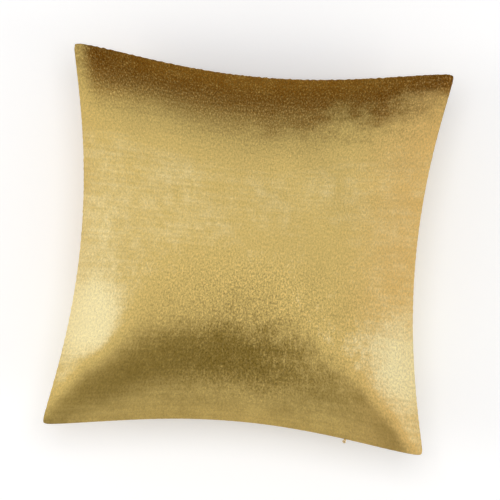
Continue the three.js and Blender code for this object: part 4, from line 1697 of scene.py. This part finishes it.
    def _tack(self, x: float) -> Sheet:
        """A bar tack: two close rows of stitches across the slit."""
        first = x + np.linspace(-self.tack_half, self.tack_half, self.tack_stitches)
        second = first[:-1] + self.tack_shift
        inset = np.repeat(self.tack_inset + np.array([-1, 1]) * self.tack_row, (len(first), len(second)))
        centres = self.arc.at(np.concatenate([first, second]), inset, 0.0)
        sheet = Sheet()
        along = np.broadcast_to((0.06, 0.0, 1.0), centres.shape)
        sheet.stitches(centres, along, self.tack_reach, self.stitch_radius)
        return sheet


@dataclass
class ZipSlider:
    """The slider and its pull tab. Its plate runs behind the coils, and its bail stands outside the slit."""

    arc: ZipArc
    place: float = 127.5 * MM
    length: float = 7.0 * MM
    plate: tuple = (6.2 * MM, 7.3 * MM)
    flange: tuple = (2.8 * MM, 3.4 * MM)
    flange_inset: float = 4.2 * MM
    neck_half: tuple = (1.2 * MM, 0.4 * MM)
    neck_end: float = 6.75 * MM
    bail: tuple = (-1.9 * MM, -1.3 * MM)
    bail_half: float = 1.1 * MM
    lug: tuple = (0.85 * MM, 1.55 * MM)
    post_inset: float = -3.75 * MM
    post_radius: float = 0.5 * MM
    post_half: float = 1.45 * MM
    eye_radius: float = 1.45 * MM
    hole_radius: float = 0.9 * MM
    tab_wall: float = 0.9 * MM
    tab_length: float = 20.0 * MM
    tab_half: float = 2.4 * MM
    shank_start: float = 1.1 * MM
    shank_end: float = 3.48 * MM
    dish_depth: float = 0.34
    dish_place: float = 0.66
    dish_reach: float = 5.0 * MM
    metal: ZincPlate = ZincPlate("slider_plating")

    def build(self) -> list[bpy.types.Object]:
        """Builds the slider and its tab."""
        material = self.metal.material()
        axes = self.arc.axes(self.place)
        along, inwards, up, origin = axes
        hung = np.stack([up, inwards, -along, origin])
        slider, tab = self._body(axes, hung), self._tab(hung)
        return [
            slider.piece("slider_casting", material, "zip_metal", "zip_slider_body", SLIDER),
            tab.piece("pull_tab_casting", material, "zip_metal", "zip_pull_tab", TAB),
        ]

    def _body(self, axes: np.ndarray, hung: np.ndarray) -> Sheet:
        """The slider: a plate with two flanges, a neck through the slit, a bail with two lugs, and the post.

        Args:
            axes: the slider's own axes, along, inwards and up, and its origin.
            hung: the same axes turned, so that the post's upright becomes level.

        Returns:
            The sheet.
        """
        halves = (self.length / 2, self.neck_half[0], self.bail_half, self.post_radius)
        length, neck, bail, post = (np.array([-half, half]) for half in halves)
        flange, thick, lug = self.flange, self.neck_half[1], self.lug
        lug_span = (self.post_inset - self.bail_half, self.bail[1])
        spans = [
            (axes, length, self.plate, (-flange[1], flange[1]), 0.35),
            (axes, length, (self.flange_inset, self.plate[1]), (-flange[1], -flange[0]), 0.25),
            (axes, length, (self.flange_inset, self.plate[1]), flange, 0.25),
            (axes, neck, (self.bail[0], self.neck_end), (-thick, thick), 0.15),
            (hung, bail, self.bail, (-lug[1], lug[1]), 0.22),
            (hung, bail, lug_span, (-lug[1], -lug[0]), 0.32),
            (hung, bail, lug_span, lug, 0.32),
            (hung, post, self.post_inset + post, (-self.post_half, self.post_half), 0.49),
        ]
        sheet = Sheet()
        for turn, x, y, z, edge in spans:
            low, high = np.stack([x, y, z], 1)
            sheet.block((low + high) / 2, (high - low) / 2, edge * MM, turn)
        return sheet

    def _tab(self, hung: np.ndarray) -> Sheet:
        """The pull tab: an eye round the post and a blade that widens from its shank to a round end.

        The eye is a rounded section carried round a circle. The blade's section is a rounded oblong whose
        half width follows the shank, then a smooth widening, then a half circle, and whose faces are dished.

        Args:
            hung: the axes that turn what lies along -X on an upright post into what hangs from a level one.

        Returns:
            The sheet.
        """
        sheet = Sheet()
        axes, origin = hung[:3], hung[3] + hung[1] * self.post_inset
        shank = self.tab_wall / 2
        around = np.linspace(0.0, math.tau, 25)[:-1, None]
        about = np.linspace(0.0, math.tau, 13)[:-1][None, :]
        middle, thick = (self.eye_radius + self.hole_radius) / 2, (self.eye_radius - self.hole_radius) / 2
        reach = middle + thick * squarer(np.cos(about), 0.6)
        rise = shank * squarer(np.sin(about), 0.6) + 0 * around
        grid = sheet.add(np.stack([reach * np.cos(around), reach * np.sin(around), rise], -1) @ axes + origin)
        sheet.rings(np.concatenate([grid, grid[:1]]))

        belly = self.tab_length - self.tab_half
        run = np.concatenate([
            np.linspace(self.shank_start, self.shank_end, 4),
            np.linspace(self.shank_end, belly, 22)[1:],
            belly + self.tab_half * np.sin(np.radians(np.linspace(0, 88, 12)))[1:],
        ])[:, None]
        width = shank + (self.tab_half - shank) * eased((run - self.shank_end) / (belly - self.shank_end))
        end = np.sqrt(np.clip(self.tab_half**2 - np.clip(run - belly, 0.0, None) ** 2, 0.0, None))
        width = np.minimum(width, end)
        thickness = shank * np.minimum(1.0, 0.25 + width / (1.0 * MM))
        about = np.linspace(0.0, math.tau, 33)[:-1][None, :]
        across, deep = squarer(np.cos(about), 0.45), squarer(np.sin(about), 0.45)
        dish = self.dish_depth * np.exp(-((run - self.dish_place * self.tab_length) / self.dish_reach) ** 2)
        face = 1.0 - dish * np.clip(1.0 - (across / 0.72) ** 4, 0.0, 1.0)
        blade = np.stack([-run + 0 * about, thickness * deep * face, width * across], -1)
        tips = np.array([(-self.shank_start, 0.0, 0.0), (-self.tab_length, 0.0, 0.0)])
        sheet.capped(sheet.add(blade @ axes + origin), sheet.add(tips @ axes + origin))
        return sheet


# ------------------------------------------------ The studio ------------------------------------------------


@dataclass(frozen=True)
class Softbox:
    """One soft lamp: where it hangs, how large it is and how bright its face is."""

    name: str
    place: tuple
    size: tuple
    brightness: float
    colour: tuple = (1.0, 1.0, 1.0)

    def hang(self, target: tuple) -> None:
        """Hangs the lamp, turned towards a point. Its power is pi times its area times its brightness."""
        lamp = bpy.data.lights.new(self.name, "AREA")
        lamp.shape = "RECTANGLE"
        lamp.size, lamp.size_y = self.size
        lamp.energy = math.pi * self.size[0] * self.size[1] * self.brightness
        lamp.color = self.colour
        body = bpy.data.objects.new(self.name, lamp)
        body.location = self.place
        away = np.array(self.place) - np.array(target)
        level = math.hypot(away[0], away[1])
        body.rotation_euler = (math.atan2(level, away[2]), 0.0, math.atan2(away[0], -away[1]))
        body.visible_camera = False
        bpy.context.scene.collection.objects.link(body)


@dataclass
class Studio:
    """The floor, the lamps, the surroundings' plain light and the camera straight above."""

    form: PillowForm
    view_across: float = 568.5 * MM
    camera_above: float = 4.0
    sensor: float = 36.0
    turn: float = 4.8
    shift_right: float = 1.9 * MM
    shift_up: float = -0.8 * MM
    floor_half: float = 6.0
    floor_cells: int = 12
    floor_below: float = 0.1 * MM
    surroundings: tuple = (0.46, 0.46, 0.47)
    lamps: tuple = (
        Softbox("overhead_softbox", (0.0, 0.55, 2.5), (2.0, 1.5), 2.3),
        Softbox("left_softbox", (-2.1, -0.40, 1.25), (1.2, 1.2), 3.2, (1.0, 0.97, 0.90)),
        Softbox("right_softbox", (2.1, -0.75, 1.25), (1.2, 1.2), 2.6, (1.0, 0.96, 0.90)),
        Softbox("front_softbox", (0.0, -2.6, 0.75), (2.2, 0.6), 1.6),
    )

    def build(self) -> None:
        """Sets the studio up."""
        x, y = square(np.linspace(-self.floor_half, self.floor_half, self.floor_cells + 1))
        sheet = Sheet()
        sheet.quads(sheet.add(np.stack([x, y, np.full_like(x, -self.floor_below)], -1)))
        sheet.make("floor", PaleFloor("pale_floor").material())
        for lamp in self.lamps:
            lamp.hang((0.0, 0.0, self.form.seam))
        air = Shader(bpy.data.worlds.new("studio_air"))
        light = air.add("ShaderNodeBackground", None, {"Color": self.surroundings, "Strength": 1.0})
        bpy.context.scene.world = air.close(light, "ShaderNodeOutputWorld")
        self._camera()
        bpy.context.scene.view_settings.view_transform = "Standard"

    def _camera(self) -> None:
        """Hangs the camera above the pillow, with a lens that shows the wanted width at the seam."""
        lens = bpy.data.cameras.new("camera")
        lens.sensor_width = self.sensor
        lens.lens = self.sensor * (self.camera_above - self.form.seam) / self.view_across
        camera = bpy.data.objects.new("camera", lens)
        turn = math.radians(self.turn)
        camera.location = (
            self.shift_right * math.cos(turn) - self.shift_up * math.sin(turn),
            self.shift_right * math.sin(turn) + self.shift_up * math.cos(turn),
            self.camera_above,
        )
        camera.rotation_euler = (0.0, 0.0, turn)
        bpy.context.scene.collection.objects.link(camera)
        bpy.context.scene.camera = camera


def corners(box: tuple) -> list[list[float]]:
    """A box's lowest and highest corners as plain lists of numbers."""
    return [[float(value) for value in corner] for corner in box]


def main() -> None:
    """Builds the pillow from the inside of its frame out, and then the studio."""
    logging.basicConfig(level=logging.INFO, format="%(message)s")
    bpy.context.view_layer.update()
    form = PillowForm.from_frame()
    knots = StuffedCloth(form).settle()
    faces = {side: CrownedFace(form, side, knots[side]) for side in Side}
    zone = ZipZone()
    arc = ZipArc.from_frame(form)
    insert = Insert(form, faces)
    sub_assemblies = (
        Cover(form, faces, zone),
        insert,
        SeamSewing(form, faces, zone, arc, insert),
        ZipFastener(arc),
        ZipSlider(arc),
    )
    for sub_assembly in sub_assemblies:
        pieces = sub_assembly.build()
        log.info("%s: %s", type(sub_assembly).__name__, ", ".join(piece.name for piece in pieces))
    Studio(form).build()


if __name__ == "__main__":
    main()
